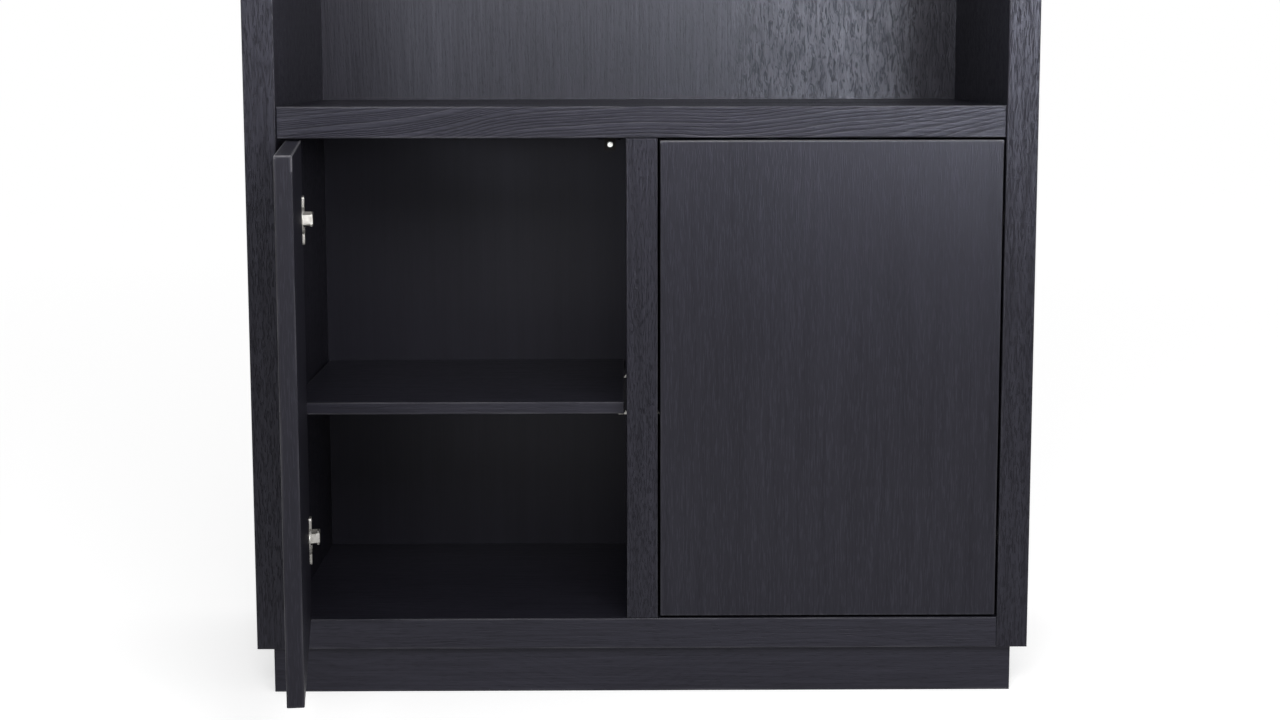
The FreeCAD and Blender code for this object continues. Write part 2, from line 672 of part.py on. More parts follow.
def make_arm(tag, level, tools):
    """One cranked arm: an eye on the pivot, a slanted neck, a nose, a return and a flat tail."""
    eye = rod(f"{tag}_eye", "eye_diameter", "neck_width",
              ("pivot_reach", "pivot_depth", f"{level} - neck_width / 2"), "+z")
    neck = box(f"{tag}_neck", ("neck_length", "arm_gauge", "neck_width"), (
        "pivot_reach + arm_gauge / 2 * sin(neck_angle)",
        "pivot_depth - arm_gauge / 2 * cos(neck_angle)",
        f"{level} - neck_width / 2"))
    neck.Placement.Rotation = UPRIGHT_TURN
    bind(neck, **{"Placement.Rotation.Angle": "neck_angle"})
    low = f"{level} - arm_width / 2"
    nose = box(f"{tag}_nose", ("arm_gauge", "arm_return + arm_gauge - nose_front", "arm_width"),
               ("arm_nose - arm_gauge", "nose_front", low))
    bridge = box(f"{tag}_bridge", ("arm_nose - rib_height", "arm_gauge", "arm_width"),
                 ("rib_height", "arm_return", low))
    tail = box(f"{tag}_tail", ("arm_gauge", "arm_tail_end - arm_return", "arm_width"),
               ("rib_height", "arm_return", low))
    bore = rod(f"{tag}_eye_bore", "hinge_pin_diameter + 2 * pin_running_fit", "neck_width",
               ("pivot_reach", "pivot_depth", f"{level} - neck_width / 2"), "+z")
    blank = joined(f"{tag}_arm_blank", [eye, neck, nose, bridge, tail])
    return drilled(f"{tag}_arm", blank, [bore, *tools])


def make_cup(tag, level):
    """One hinge cup let into the door: a thick flange covers its rim and has a saddle for the arm."""
    body = doc.addObject("PartDesign::Body", f"{tag}_cup")

    def feature(kind, name, point, turn, **values):
        item = body.newObject(f"PartDesign::{kind}", f"{tag}_{name}")
        bind(item, **values)
        place(item, point, turn)
        return item

    flange_corner = ("cup_offset - flange_width / 2", "door_back", f"{level} - flange_height / 2")
    flange = feature("AdditiveBox", "flange", flange_corner, FreeCAD.Rotation(),
                     Length="flange_width", Width="flange_thickness + flange_pad", Height="flange_height")
    doc.recompute()
    corners = body.newObject("PartDesign::Fillet", f"{tag}_flange_corners")
    corners.Base = (flange, [
        f"Edge{number}"
        for number, edge in enumerate(flange.Shape.Edges, start=1)
        if edge.BoundBox.XLength + edge.BoundBox.ZLength < edge.BoundBox.YLength
    ])
    bind(corners, Radius="flange_corner_radius")
    axis_back = ("cup_offset", "pad_back", level)
    feature("AdditiveCylinder", "rim", axis_back, WAYS["-y"],
            Radius="rim_radius", Height="flange_thickness + flange_pad")
    feature("AdditiveCylinder", "barrel", axis_back, WAYS["-y"],
            Radius="cup_diameter / 2", Height="cup_depth + pad_back - door_back")
    feature("SubtractiveCylinder", "hollow", axis_back, WAYS["-y"],
            Radius="cup_inner_radius", Height="cup_depth + pad_back - door_back - cup_wall")
    saddle_corner = ("cup_offset - rim_radius", "flange_back", f"{level} - saddle_half")
    feature("SubtractiveBox", "saddle", saddle_corner, FreeCAD.Rotation(),
            Length="2 * rim_radius", Width="flange_pad", Height="2 * saddle_half")
    feature("SubtractiveCylinder", "pin_seats", ("0", "0", f"{level} - cup_diameter / 2"), WAYS["+z"],
            Radius="hinge_pin_diameter / 2 + pin_seat_fit", Height="cup_diameter")
    for sign in (LEFT, RIGHT):
        head = ("cup_offset", "pad_back", f"{level} + {sign} * cup_screw_spacing / 2")
        feature("SubtractiveCylinder", f"screw_hole_{sign + 1}", head, WAYS["-y"],
                Radius="screw_diameter / 2 + fixing_fit", Height="pad_back - door_back")
        feature("SubtractiveCone", f"screw_sink_{sign + 1}", head, WAYS["-y"],
                Radius1="sunk_head_diameter / 2 + fixing_fit", Radius2="screw_diameter / 2 + fixing_fit",
                Height="sunk_head_height")
    return body


def make_door(side, hand):
    """A door with its two hinge cups, their screws and the pivot pins; drawn from the pivot."""
    panel = board(f"{side}_door_board", ("door_width", "door_thickness", "door_height"),
                  ("-1 * pivot_inset", "-1 * pivot_depth", "-door_height / 2"),
                  "door_edge_radius", front_only=False)
    cups, screws, pins, tools = [], [], [], []
    for number, level in enumerate(("hinge_level", "-1 * hinge_level")):
        tag = f"{side}_door_hinge_{number}"
        cups.append(make_cup(tag, level))
        tools.append(hole(f"{tag}_cup_hole", ("cup_offset", "door_back", level), "-y", "cup_depth",
                          "cup_diameter"))
        for sign in (LEFT, RIGHT):
            screw = f"{tag}_screw_{sign + 1}"
            height = f"{level} + {sign} * cup_screw_spacing / 2"
            seat = ("cup_offset", "pad_back", height)
            screws.append(sunk_screw(screw, "cup_screw_length", seat, "-y"))
            tools.append(hole(f"{screw}_pilot", ("cup_offset", "door_back", height), "-y",
                              "cup_screw_length - pad_back + door_back"))
        pins.append(rod(f"{tag}_pin", "hinge_pin_diameter", "hinge_pin_length",
                        ("0", "0", f"{level} - hinge_pin_length / 2"), "+z"))
    door = drilled(f"{side}_door_panel", panel, tools)
    keep(f"{side}_door_panel", hang_on_pivot(door, hand))
    for name, items in (("hinge_cups", cups), ("hinge_cup_screws", screws), ("hinge_pins", pins)):
        keep(f"{side}_{name}", hang_on_pivot(group(f"{side}_{name}", items), hand))


def make_loose_shelf(side, hand):
    """A loose shelf in a bay, and the four pins on which it lies."""
    bay_start = "-1 * inner_half" if hand == LEFT else "partition_half"
    keep(f"{side}_loose_shelf", board(
        f"{side}_loose_shelf",
        ("bay_width - 2 * loose_end_gap", "back_face - front_plane - loose_setback - loose_back_gap",
         "loose_thickness"),
        (f"{bay_start} + loose_end_gap", "front_plane + loose_setback", "floor_top + loose_rise"),
        "edge_radius"))
    walls = (("outer", f"{hand} * inner_half", OUTWARD[hand], INWARD[hand], side_tools[hand]),
             ("inner", f"{hand} * partition_half", INWARD[hand], OUTWARD[hand], partition_tools))
    pins = []
    for wall, x, into, out, tools in walls:
        for number, line in enumerate(PIN_LINES):
            tag = f"{side}_{wall}_pin_{number}"
            seat = (x, line, "floor_top + pin_axis_rise")
            upright_x = x if out == "+x" else f"{x} - pin_upright_thickness"
            tongue_x = x if out == "+x" else f"{x} - pin_reach"
            front = f"{line} - pin_tongue_width / 2"
            underside = "floor_top + loose_rise - pin_tongue_thickness"
            pins.append(joined(tag, [
                rod(f"{tag}_peg", "pin_diameter", "pin_length", seat, into),
                box(f"{tag}_upright",
                    ("pin_upright_thickness", "pin_tongue_width", "pin_upright_height"),
                    (upright_x, front, underside)),
                box(f"{tag}_tongue",
                    ("pin_reach", "pin_tongue_width", "pin_tongue_thickness"),
                    (tongue_x, front, underside)),
            ]))
            for row in PIN_ROWS:
                height = f"{seat[2]} + {row} * hole_pitch"
                tools.append(rod(f"{tag}_hole_{row + 2}", "pin_diameter + 2 * fixing_fit", "pin_hole_depth",
                                 (x, line, height), into))
    keep(f"{side}_shelf_pins", group(f"{side}_shelf_pins", pins))


def make_case():
    """The boards of the case, each with the holes that the fittings have asked for."""
    for side, hand in HANDS.items():
        start = "-overall_width / 2" if hand == LEFT else "inner_half"
        blank = board(f"{side}_side_board",
                      ("side_thickness", "overall_depth", "overall_height - plinth_height"),
                      (start, "front_plane", "plinth_height"), "edge_radius")
        keep(f"{side}_side_panel", drilled(f"{side}_side_panel", blank, side_tools[hand]))
    for name, (underside, setback, back) in LEVELS.items():
        blank = board(f"{name}_board",
                      ("2 * inner_half", f"{back} - front_plane - {setback}", "shelf_thickness"),
                      ("-inner_half", f"front_plane + {setback}", underside), "edge_radius")
        keep(name, drilled(name, blank, level_tools[name]))
    blank = board("partition_board", ("partition_thickness", "back_face - front_plane", "opening_height"),
                  ("-partition_half", "front_plane", "floor_top"), "edge_radius")
    keep("centre_partition", drilled("centre_partition", blank, partition_tools))
    blank = board("back_board", ("2 * inner_half", "back_thickness", "case_top - floor_top"),
                  ("-inner_half", "back_face", "floor_top"))
    keep("back_panel", drilled("back_panel", blank, back_tools))


def write_nodes():
    """Check every object and each finished piece, then write one file for each piece."""
    doc.recompute()
    for item in doc.Objects:
        if "Invalid" in item.State or "Error" in item.State:
            raise RuntimeError(f"{item.Label} did not build: {item.State}")
    os.makedirs("parts", exist_ok=True)
    for item in nodes:
        if item.Shape.isNull() or not item.Shape.isValid() or not item.Shape.Solids:
            raise RuntimeError(f"{item.Label} has no valid shape")
    for item in nodes:
        item.Shape.exportStep(f"parts/{item.Label}.step")
        print(f"{item.Label}: {len(item.Shape.Solids)} solids, {item.Shape.Volume / 1000:.1f} cm3")


make_fittings()
make_plinth()
make_wall_bracket()
for side, hand in HANDS.items():
    make_latch(side, hand)
    make_hinge_fixings(side, hand)
    make_door(side, hand)
    make_loose_shelf(side, hand)
make_case()
write_nodes()
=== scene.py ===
# %% [markdown]
# A tall bookcase in black-stained brushed oak: open shelves above, two flush doors below, a recessed
# plinth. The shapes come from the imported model, which loads here as a fixed frame. This lesson adds what
# the solids can't show: the grain of each board, the metal of the hinges, the plastic of the latches, and
# the light.

# %% Load the frame
import json
import math

import bpy
import numpy as np
from mathutils import Matrix, Vector


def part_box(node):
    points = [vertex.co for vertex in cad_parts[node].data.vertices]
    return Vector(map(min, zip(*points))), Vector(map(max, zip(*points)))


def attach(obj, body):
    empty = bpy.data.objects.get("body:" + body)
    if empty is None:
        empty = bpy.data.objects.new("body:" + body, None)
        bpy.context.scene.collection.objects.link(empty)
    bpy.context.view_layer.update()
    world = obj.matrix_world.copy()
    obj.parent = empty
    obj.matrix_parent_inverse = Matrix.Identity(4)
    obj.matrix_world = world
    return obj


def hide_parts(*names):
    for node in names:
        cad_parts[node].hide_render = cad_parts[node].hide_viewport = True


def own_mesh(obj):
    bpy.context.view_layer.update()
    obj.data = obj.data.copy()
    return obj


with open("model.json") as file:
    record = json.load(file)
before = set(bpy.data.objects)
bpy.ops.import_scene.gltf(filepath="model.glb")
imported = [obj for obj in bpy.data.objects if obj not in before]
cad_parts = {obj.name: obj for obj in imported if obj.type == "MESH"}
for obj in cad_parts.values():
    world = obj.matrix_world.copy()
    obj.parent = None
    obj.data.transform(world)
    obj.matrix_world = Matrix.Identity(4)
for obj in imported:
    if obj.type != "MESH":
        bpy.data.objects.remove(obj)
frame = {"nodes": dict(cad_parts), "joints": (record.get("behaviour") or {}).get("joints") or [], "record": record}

NODES = frame["nodes"]
SLOT_OF = {part["node"]: part["material_slot"] for part in frame["record"]["subparts"]}
BODIES = frame["record"]["behaviour"]["bodies"]
BODY_OF = {node: body for body, nodes in BODIES.items() for node in nodes}
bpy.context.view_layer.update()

# %% [markdown]
# The camera stands in front of the case, a little above the doors, and looks slightly down. Its place,
# turn and focal length were fitted to the straight edges of the case, so that the upright and level edges
# of the picture fall where they do in a photograph of 1280 by 720 pixels. A camera's own axes are the
# columns of its matrix: right, up, and back, which is the way that it doesn't look.

# %% Camera
PICTURE_WIDTH = 1280
FOCAL_PIXELS = 2193.9
SENSOR_WIDTH = 36.0
FRONT_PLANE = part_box("left_side_panel")[0].y
CAMERA_X, CAMERA_DISTANCE, CAMERA_HEIGHT = -0.0231, 2.7727, 0.8220
CAMERA_YAW, CAMERA_PITCH, CAMERA_ROLL = (math.radians(angle) for angle in (-0.4226, 7.8827, 0.0954))


def place_camera():
    """Turn the camera by yaw about the upright, then pitch downwards, then roll about its line of sight."""
    turn = (Matrix.Rotation(CAMERA_YAW, 3, "Z") @ Matrix.Rotation(-CAMERA_PITCH, 3, "X")
            @ Matrix.Rotation(CAMERA_ROLL, 3, "Y"))
    right, ahead, up = turn.col
    lens = bpy.data.cameras.new("front_camera")
    lens.sensor_width = SENSOR_WIDTH
    lens.lens = FOCAL_PIXELS / PICTURE_WIDTH * SENSOR_WIDTH
    camera = bpy.data.objects.new("front_camera", lens)
    camera.matrix_world = Matrix((right, up, -ahead)).transposed().to_4x4()
    camera.location = (CAMERA_X, FRONT_PLANE - CAMERA_DISTANCE, CAMERA_HEIGHT)
    bpy.context.scene.collection.objects.link(camera)
    bpy.context.scene.camera = camera
    return camera


camera = place_camera()
print(f"lens {camera.data.lens:.1f} mm at {tuple(round(v, 3) for v in camera.location)}")

# %% [markdown]
# Shader maths reads best as plain arithmetic, so one small class wraps a node's output. Adding or
# multiplying two wires adds a Math node, and 1 - mask works because the reflected forms are there too.
# Every other node comes from one method: its type, its settings, and the values or wires for its inputs.

# %% Wires
class Wire:
    """An output socket: arithmetic on wires adds Math nodes, and node() adds any other node."""

    def __init__(self, socket):
        self.socket = socket

    def node(self, kind, settings=None, inputs=None, output=0):
        """Add a node to this wire's tree: the settings first, then what its inputs hold or are fed by."""
        made = self.socket.id_data.nodes.new(f"ShaderNode{kind}")
        for name, value in (settings or {}).items():
            if name == "stops":
                set_stops(made.color_ramp, value)
            else:
                setattr(made, name, value)
        for key, value in (inputs or {}).items():
            feed(made.inputs[key], value)
        return Wire(made.outputs[output])

    def math(self, operation, first, second):
        return self.node("Math", {"operation": operation}, {0: first, 1: second})

    def __add__(self, other):
        return self.math("ADD", self, other)

    def __sub__(self, other):
        return self.math("SUBTRACT", self, other)

    def __rsub__(self, other):
        return self.math("SUBTRACT", other, self)

    def __mul__(self, other):
        return self.math("MULTIPLY", self, other)

    def __truediv__(self, other):
        return self.math("DIVIDE", self, other)

    def __pow__(self, other):
        return self.math("POWER", self, other)

    def __gt__(self, other):
        return self.math("GREATER_THAN", self, other)

    __radd__ = __add__
    __rmul__ = __mul__


def feed(socket, value):
    """Link a wire to an input socket, or set the socket to a plain value."""
    if isinstance(value, Wire):
        socket.id_data.links.new(value.socket, socket)
    else:
        socket.default_value = value


def set_stops(ramp, stops):
    """Give a colour ramp its stops, as (position, grey) pairs."""
    while len(ramp.elements) < len(stops):
        ramp.elements.new(1.0)
    for element, (position, grey) in zip(ramp.elements, stops):
        element.position = position
        element.color = (grey, grey, grey, 1.0)


print("wires ready")

# %% [markdown]
# Every finish starts as a blank material and grows from a handful of nodes. Its patterns are worked out
# from the Object coordinates, which are metres in the piece's own space, so a grain has a real size and
# needs no unwrapping. Noise gives random values, a Mapping node stretches them, a ramp bends a value into
# a curve, and Mix and Bump nodes turn it into a colour or a relief.

# %% Patterns
def blank_finish(name):
    """A new material: its Principled shader, and the wire of the piece's own coordinates in metres."""
    material = bpy.data.materials.new(name)
    material.use_nodes = True
    shader = material.node_tree.nodes["Principled BSDF"]
    coordinates = material.node_tree.nodes.new("ShaderNodeTexCoord")
    return material, shader, Wire(coordinates.outputs["Object"])


def noise(point, scale, detail=2.0, distortion=0.0):
    """Smooth random values around one half, with features about 1 / scale in size."""
    inputs = {"Vector": point, "Scale": scale, "Detail": detail, "Distortion": distortion}
    return point.node("TexNoise", {}, inputs)


def stretch(point, factors, shift=(0.0, 0.0, 0.0)):
    """The point with each coordinate multiplied and then shifted, so that a pattern stretches along one."""
    return point.node("Mapping", {}, {"Vector": point, "Scale": factors, "Location": shift})


def ramp(value, *stops):
    """A curve through (position, grey) stops."""
    return value.node("ValToRGB", {"stops": stops}, {"Fac": value})


def blend(factor, first, second):
    """A colour between two colours."""
    return factor.node("Mix", {"data_type": "RGBA"}, {0: factor, 6: first, 7: second}, 2)


def relief(height, distance, strength):
    """Bump: small heights, in metres, that tilt the surface's normal."""
    return height.node("Bump", {}, {"Height": height, "Distance": distance, "Strength": strength})


def coordinates(point):
    """The three coordinates of a point, as wires."""
    return [point.node("SeparateXYZ", {}, {0: point}, output) for output in range(3)]


print("patterns ready")

# %% [markdown]
# Oak grows in rings round its pith, and a saw cuts a board out of that round log. A flat picture of grain
# would have to be laid on each face and would break at the corners. Here the grain is solid instead: the
# distance of a point from a slanting line, the pith, counts the rings, and slow noise bends that line as
# a trunk bends. Where a face cuts the rings at a low angle they spread into arches, where it cuts them
# square they are fine straight lines, and on the end of a board they are arcs. No two years are alike, so
# a noise along the count makes some rings wide and some narrow.

# %% The log that a board is sawn from
AXES = "XYZ"
TRUNK_BENDS, TRUNK_ACROSS = (2.3, 3.1), 0.3
RAGGED_SCALE, RAGGED_DRAW, RAGGED_AMOUNT = 60.0, 0.2, 0.7
UNEVEN_YEARS, UNEVEN_AMOUNT = 0.37, 1.5
YEAR_CURVE = ((0.0, 0.0), (0.14, 0.14), (0.38, 0.76), (0.86, 1.0), (1.0, 0.0))


def along_grain(direction, along, across=1.0):
    """Three factors for stretch(): one value along the grain and another across it."""
    return tuple(along if axis == direction else across for axis in AXES)


def growth_rings(point, direction, pith, lean, pitch, sway, shift):
    """Rings: the distance from the leaning, swaying pith line, counted in pitches; each year is one curve."""
    order = AXES.index(direction)
    split = coordinates(point)
    length, width, depth = split[order], split[order - 2], split[order - 1]
    slow = stretch(point, along_grain(direction, 1.0, TRUNK_ACROSS), shift)
    bends = [(noise(slow, scale, detail=1.0) - 0.5) * sway for scale in TRUNK_BENDS]
    sideways = width - pith[0] - length * lean[0] + bends[0]
    inwards = depth - pith[1] - length * lean[1] + bends[1]
    radius = (sideways * sideways + inwards * inwards) ** 0.5
    ragged = noise(stretch(point, along_grain(direction, RAGGED_DRAW), shift), RAGGED_SCALE) - 0.5
    count = radius / pitch + ragged * RAGGED_AMOUNT
    along_count = {"W": count * UNEVEN_YEARS, "Scale": 1.0, "Detail": 0.0}
    years = count + count.node("TexNoise", {"noise_dimensions": "1D"}, along_count) * UNEVEN_AMOUNT
    saw = years.node("Math", {"operation": "FRACT"}, {0: years})
    return ramp(saw, *YEAR_CURVE)


print("rings ready")

# %% [markdown]
# Between the rings there is finer stuff. The fibres are thin streaks along the grain. The vessels of oak
# are pores, cut into short dashes, which are dark where they stand open and pale where they are filled,
# as on the doors. Across the rings run the rays, sheets of cells that a saw lays open as pale flecks. All
# three are noise squeezed to a size and drawn out along the grain, and a curve keeps only the darkest or
# the palest of it. Their sizes are real ones: a scale of 340 is about one streak in 3 mm.

# %% Fibres, pores and rays
FIBRE_SCALE, FIBRE_DRAW = 340.0, 0.03
PORE_SCALE, PORE_DRAW = 800.0, 0.07
PORE_CURVE = ((0.36, 1.0), (0.46, 0.0))
BAND_SCALE, BAND_DRAW = 60.0, 0.04
FLECK_SCALE, FLECK_DRAW, FLECK_CURL = 210.0, 0.26, 1.2
FLECK_CURVE = ((0.38, 0.0), (0.52, 1.0))
PATCH_SCALE, PATCH_DRAW = 45.0, 0.6
PATCH_CURVE = ((0.30, 0.5), (0.62, 1.0))


def fibres(point, direction, shift):
    """Streaks along the grain, around zero."""
    return noise(stretch(point, along_grain(direction, FIBRE_DRAW), shift), FIBRE_SCALE, detail=3.0) - 0.5


def pores(point, direction, shift, draw=PORE_DRAW):
    """1 in the vessels, which are short dashes, and 0 between them."""
    dashes = noise(stretch(point, along_grain(direction, draw), shift), PORE_SCALE, detail=1.0)
    return ramp(dashes, *PORE_CURVE)


def bands(point, direction, shift):
    """Broad soft streaks along the grain, around zero, which show from across a room."""
    return noise(stretch(point, along_grain(direction, BAND_DRAW), shift), BAND_SCALE) - 0.5


def ray_flecks(point, direction, shift):
    """Pale wood between short, wavy dark dashes, stronger in some patches than in others."""
    drawn = stretch(point, along_grain(direction, FLECK_DRAW), shift)
    dashes = noise(drawn, FLECK_SCALE, distortion=FLECK_CURL)
    patches = noise(stretch(point, along_grain(direction, PATCH_DRAW), shift), PATCH_SCALE)
    return ramp(dashes, *FLECK_CURVE) * ramp(patches, *PATCH_CURVE)


print("fibres ready")

# %% [markdown]
# Handling rubs the stain off the arrises, the sharp edges where two faces meet. A bevel shader could find
# them, but it is slow and can't be baked, so the edges are worked out from the board's box. A point near
# one face is on the flat; a point near two faces is on an edge. So the second smallest of the three
# distances tells.

# %% Rubbed edges
EDGE_REACH = 0.004
EDGE_CURVE = ((0.15, 1.0), (0.75, 0.0))
OUT_OF_REACH = 1.0


def arris(point, low, high, bare_axes):
    """1 on the free edges of a box and 0 a few millimetres away, from the second smallest distance to a face.

    Faces across an axis that isn't bare are let into another board, so they are put out of reach."""
    room = []
    for axis, value, bottom, top in zip(AXES, coordinates(point), low, high):
        offset = value - (bottom + top) / 2
        buried = 0.0 if axis in bare_axes else OUT_OF_REACH
        half = (top - bottom) / 2 + buried
        room.append(half - offset.node("Math", {"operation": "ABSOLUTE"}, {0: offset}))
    first, second, third = room
    smaller = first.math("MINIMUM", first, second)
    larger = first.math("MAXIMUM", first, second)
    middle = first.math("MAXIMUM", smaller, first.math("MINIMUM", larger, third))
    return ramp(middle / EDGE_REACH, *EDGE_CURVE)


print("edges ready")

# %% [markdown]
# The finish is a black stain on oak that wire brushes have scraped. The brushes take the soft early wood
# out of each ring, so the same grain that darkens the colour is also a relief, which catches the light.
# In some places the rings are strong and in others calm, and because the stain is thin the tone drifts
# slowly over a board.

# %% Brushed grain and thin stain
CALM_SCALE, CALM_DRAW = 9.0, 0.3
CALM_CURVE = ((0.3, 0.25), (0.7, 1.0))
DRIFT_SCALE, DRIFT_DRAW, DRIFT_AMOUNT = 6.0, 0.35, 0.30


def grain_height(point, direction, shift, rings, streak, speckle, draw):
    """How far the grain stands up at a point, around zero: streaks plus rings minus pores."""
    calm = noise(stretch(point, along_grain(direction, CALM_DRAW), shift), CALM_SCALE, detail=1.0)
    figure = rings * ramp(calm, *CALM_CURVE)
    return fibres(point, direction, shift) * streak + figure - pores(point, direction, shift, draw) * speckle


def slow_tone(point, direction, shift, band):
    """The stain's drift over a board plus its broad streaks, around zero."""
    drift = noise(stretch(point, along_grain(direction, DRIFT_DRAW), shift), DRIFT_SCALE) - 0.5
    return drift * DRIFT_AMOUNT + bands(point, direction, shift) * band


print("grain ready")

# %% [markdown]
# Three things differ from place to place. The upper part of the back is lacquered, and one of its two
# veneer leaves is cut along the rays; behind the doors it is plain and smooth. The upright edges of the
# doors are glued strips, duller than the faces and darker: partly their own stain, partly painted shade
# for the darker side of the room that they mirror. The free edges are rubbed pale, on the doors most at
# the inner top corners, and a pale line along the tops of the doors is a painted highlight, where the
# rounded arris would catch the light from above. Painting these by hand would fit one size only, so each
# is a mask, from 0 to 1, worked out from the board's box.

# %% Strips, lacquer, wear and a painted highlight
STRIP_DEPTH = 0.0006
LEAF_FADE = 0.07
EVEN_CURVE = ((0.0, 0.0), (1.0, 1.0))
WORN_CURVE = ((0.40, 0.05), (0.60, 0.30))
RUBBED_HEIGHT = 0.014


def glued_strip(point, low, high):
    """1 on the two narrow faces at the ends of X, where a strip is glued on, and 0 on the rest of a board."""
    offset = coordinates(point)[0] - (low.x + high.x) / 2
    return offset.node("Math", {"operation": "ABSOLUTE"}, {0: offset}) > (high.x - low.x) / 2 - STRIP_DEPTH


def lacquered_front(point, low, high, above):
    """1 on the front half of a board's thickness above a height, and 0 on the rest."""
    inwards, upwards = coordinates(point)[1:]
    return (upwards > above) * ((low.y + high.y) / 2 - inwards > 0.0)


def flecked_leaf(point, seam):
    """0 on the leaf to the left of a seam across X and 1 on the leaf to its right, fading over LEAF_FADE."""
    return ramp((coordinates(point)[0] - seam) / LEAF_FADE + 0.5, *EVEN_CURVE)


def worn_and_highlit_edges(point, low, high, direction, shift, bare_axes, wear, top_highlight_and_rub):
    """How pale the edges are: bare-wood streaks on all free edges, a painted highlight on the top edge, rubbed
    inner top corners.
    """
    edge = arris(point, low, high, bare_axes)
    streaks = edge * ramp(fibres(point, direction, shift) + 0.5, *WORN_CURVE) * wear
    inwards, upwards = coordinates(point)[1:]
    inner = inwards > (low.y + high.y) / 2
    # On the outer half this paints a highlight along the top arris; on the inner half it reaches RUBBED_HEIGHT
    # lower, as rubbed wear.
    return streaks + edge * (upwards + inner * RUBBED_HEIGHT > high.z - EDGE_REACH) * top_highlight_and_rub


print("masks ready")

# %% [markdown]
# One function makes the oak of any board. The colour is a mix of two near-blacks, paler where the grain
# stands up, with bare wood on the worn edges and a painted highlight along the tops of the doors.
# Roughness, relief and the clear coat follow the same grain, so that all of them tell one story.

# %% Black-stained brushed oak
STAIN_DARK = (0.0052, 0.0049, 0.0081, 1.0)
STAIN_PALE = (0.0249, 0.0243, 0.0343, 1.0)
# Bare wood on the worn edges; also the colour of the painted highlight along the door tops.
BARE_WOOD_AND_HIGHLIGHT = (0.1250, 0.1230, 0.1320, 1.0)
STAIN_LEVEL = 0.36
FLECK_LEVEL, FLECK_AMOUNT, PLAIN_BACK = 0.45, 0.6, 0.25
COAT, COAT_BY_GRAIN, COAT_ROUGH = 0.11, 0.3, 0.34
GLOSS_BY_GRAIN, STRIP_DULLS = 0.12, 0.16
BRUSHED_DEPTH = 0.0009
OAK_SHINE, SHEEN_TINT = 0.20, (0.910, 0.904, 1.0, 1.0)
FAR_APART = 5.0


def oak_finish(name, box, direction, seed, pith, pitch, turn=None, lean=(0.0, 0.0), sway=0.1, figure=0.24,
               lift=0.0, gloss=0.36, streak=0.9, speckle=0.22, draw=PORE_DRAW, band=0.3, relief_strength=0.45,
               bare_axes=AXES, wear=1.0, top_highlight_and_rub=0.0, strip_stain_and_shade=0.0, flecks_from=None, lacquer_above=None):
    """Black-stained brushed oak whose grain runs along X, Y or Z.

    The stain's level mixes its two colours: the grain's height plus the slow tone and the board's lift; on the
    door strips it is lowered, partly by their stain and partly by painted shade."""
    material, shader, point = blank_finish(name)
    if turn:
        point = point.node("Mapping", {}, {"Vector": point, **turn})
    shift = tuple(float(v) for v in np.random.default_rng(seed).uniform(-FAR_APART, FAR_APART, 3))
    rings = (growth_rings(point, direction, pith, lean, pitch, sway, shift) - 0.5) * figure
    grain = grain_height(point, direction, shift, rings, streak, speckle, draw)
    if lacquer_above is not None:
        lacquered = lacquered_front(point, *box, lacquer_above)
        leaf = lacquered * flecked_leaf(point, flecks_from)
        grain = grain + leaf * (ray_flecks(point, direction, shift) - FLECK_LEVEL) * FLECK_AMOUNT
        grain = grain * (PLAIN_BACK + lacquered * (1.0 - PLAIN_BACK))
        feed(shader.inputs["Coat Weight"], lacquered * (COAT + grain * COAT_BY_GRAIN))
        shader.inputs["Coat Roughness"].default_value = COAT_ROUGH
    level = grain + slow_tone(point, direction, shift, band) + (STAIN_LEVEL + lift)
    rough = gloss - grain * GLOSS_BY_GRAIN
    # The glued strips are darker: partly their own stain, partly painted shade for the darker side of the room
    # that they mirror.
    if strip_stain_and_shade:
        glued = glued_strip(point, *box)
        level = level - glued * strip_stain_and_shade
        rough = rough + glued * STRIP_DULLS
    stained = blend(ramp(level, *EVEN_CURVE), STAIN_DARK, STAIN_PALE)
    # Pale edges: bare wood where worn, and a painted highlight along the door tops.
    worn_and_highlit = worn_and_highlit_edges(point, *box, direction, shift, bare_axes, wear, top_highlight_and_rub)
    feed(shader.inputs["Base Color"], blend(worn_and_highlit, stained, BARE_WOOD_AND_HIGHLIGHT))
    feed(shader.inputs["Roughness"], rough)
    feed(shader.inputs["Normal"], relief(grain, BRUSHED_DEPTH, relief_strength))
    shader.inputs["Specular IOR Level"].default_value = OAK_SHINE
    shader.inputs["Specular Tint"].default_value = SHEEN_TINT
    return material


print("oak ready")

# %% [markdown]
# Each board is sawn another way, and its numbers say how. The pith is given as its distance from the
# middle of the board: far away, as for the doors and the back, the lines are straight; close by, as for
# the sides and the shelves, the wide faces show arches. The sides, the doors and the back stand with
# their grain upright, and the shelves lie with theirs along X. The left door stands open: its points are
# turned shut about the hinge before the grain and the edges are worked out, because those belong to the
# door and not to the room.

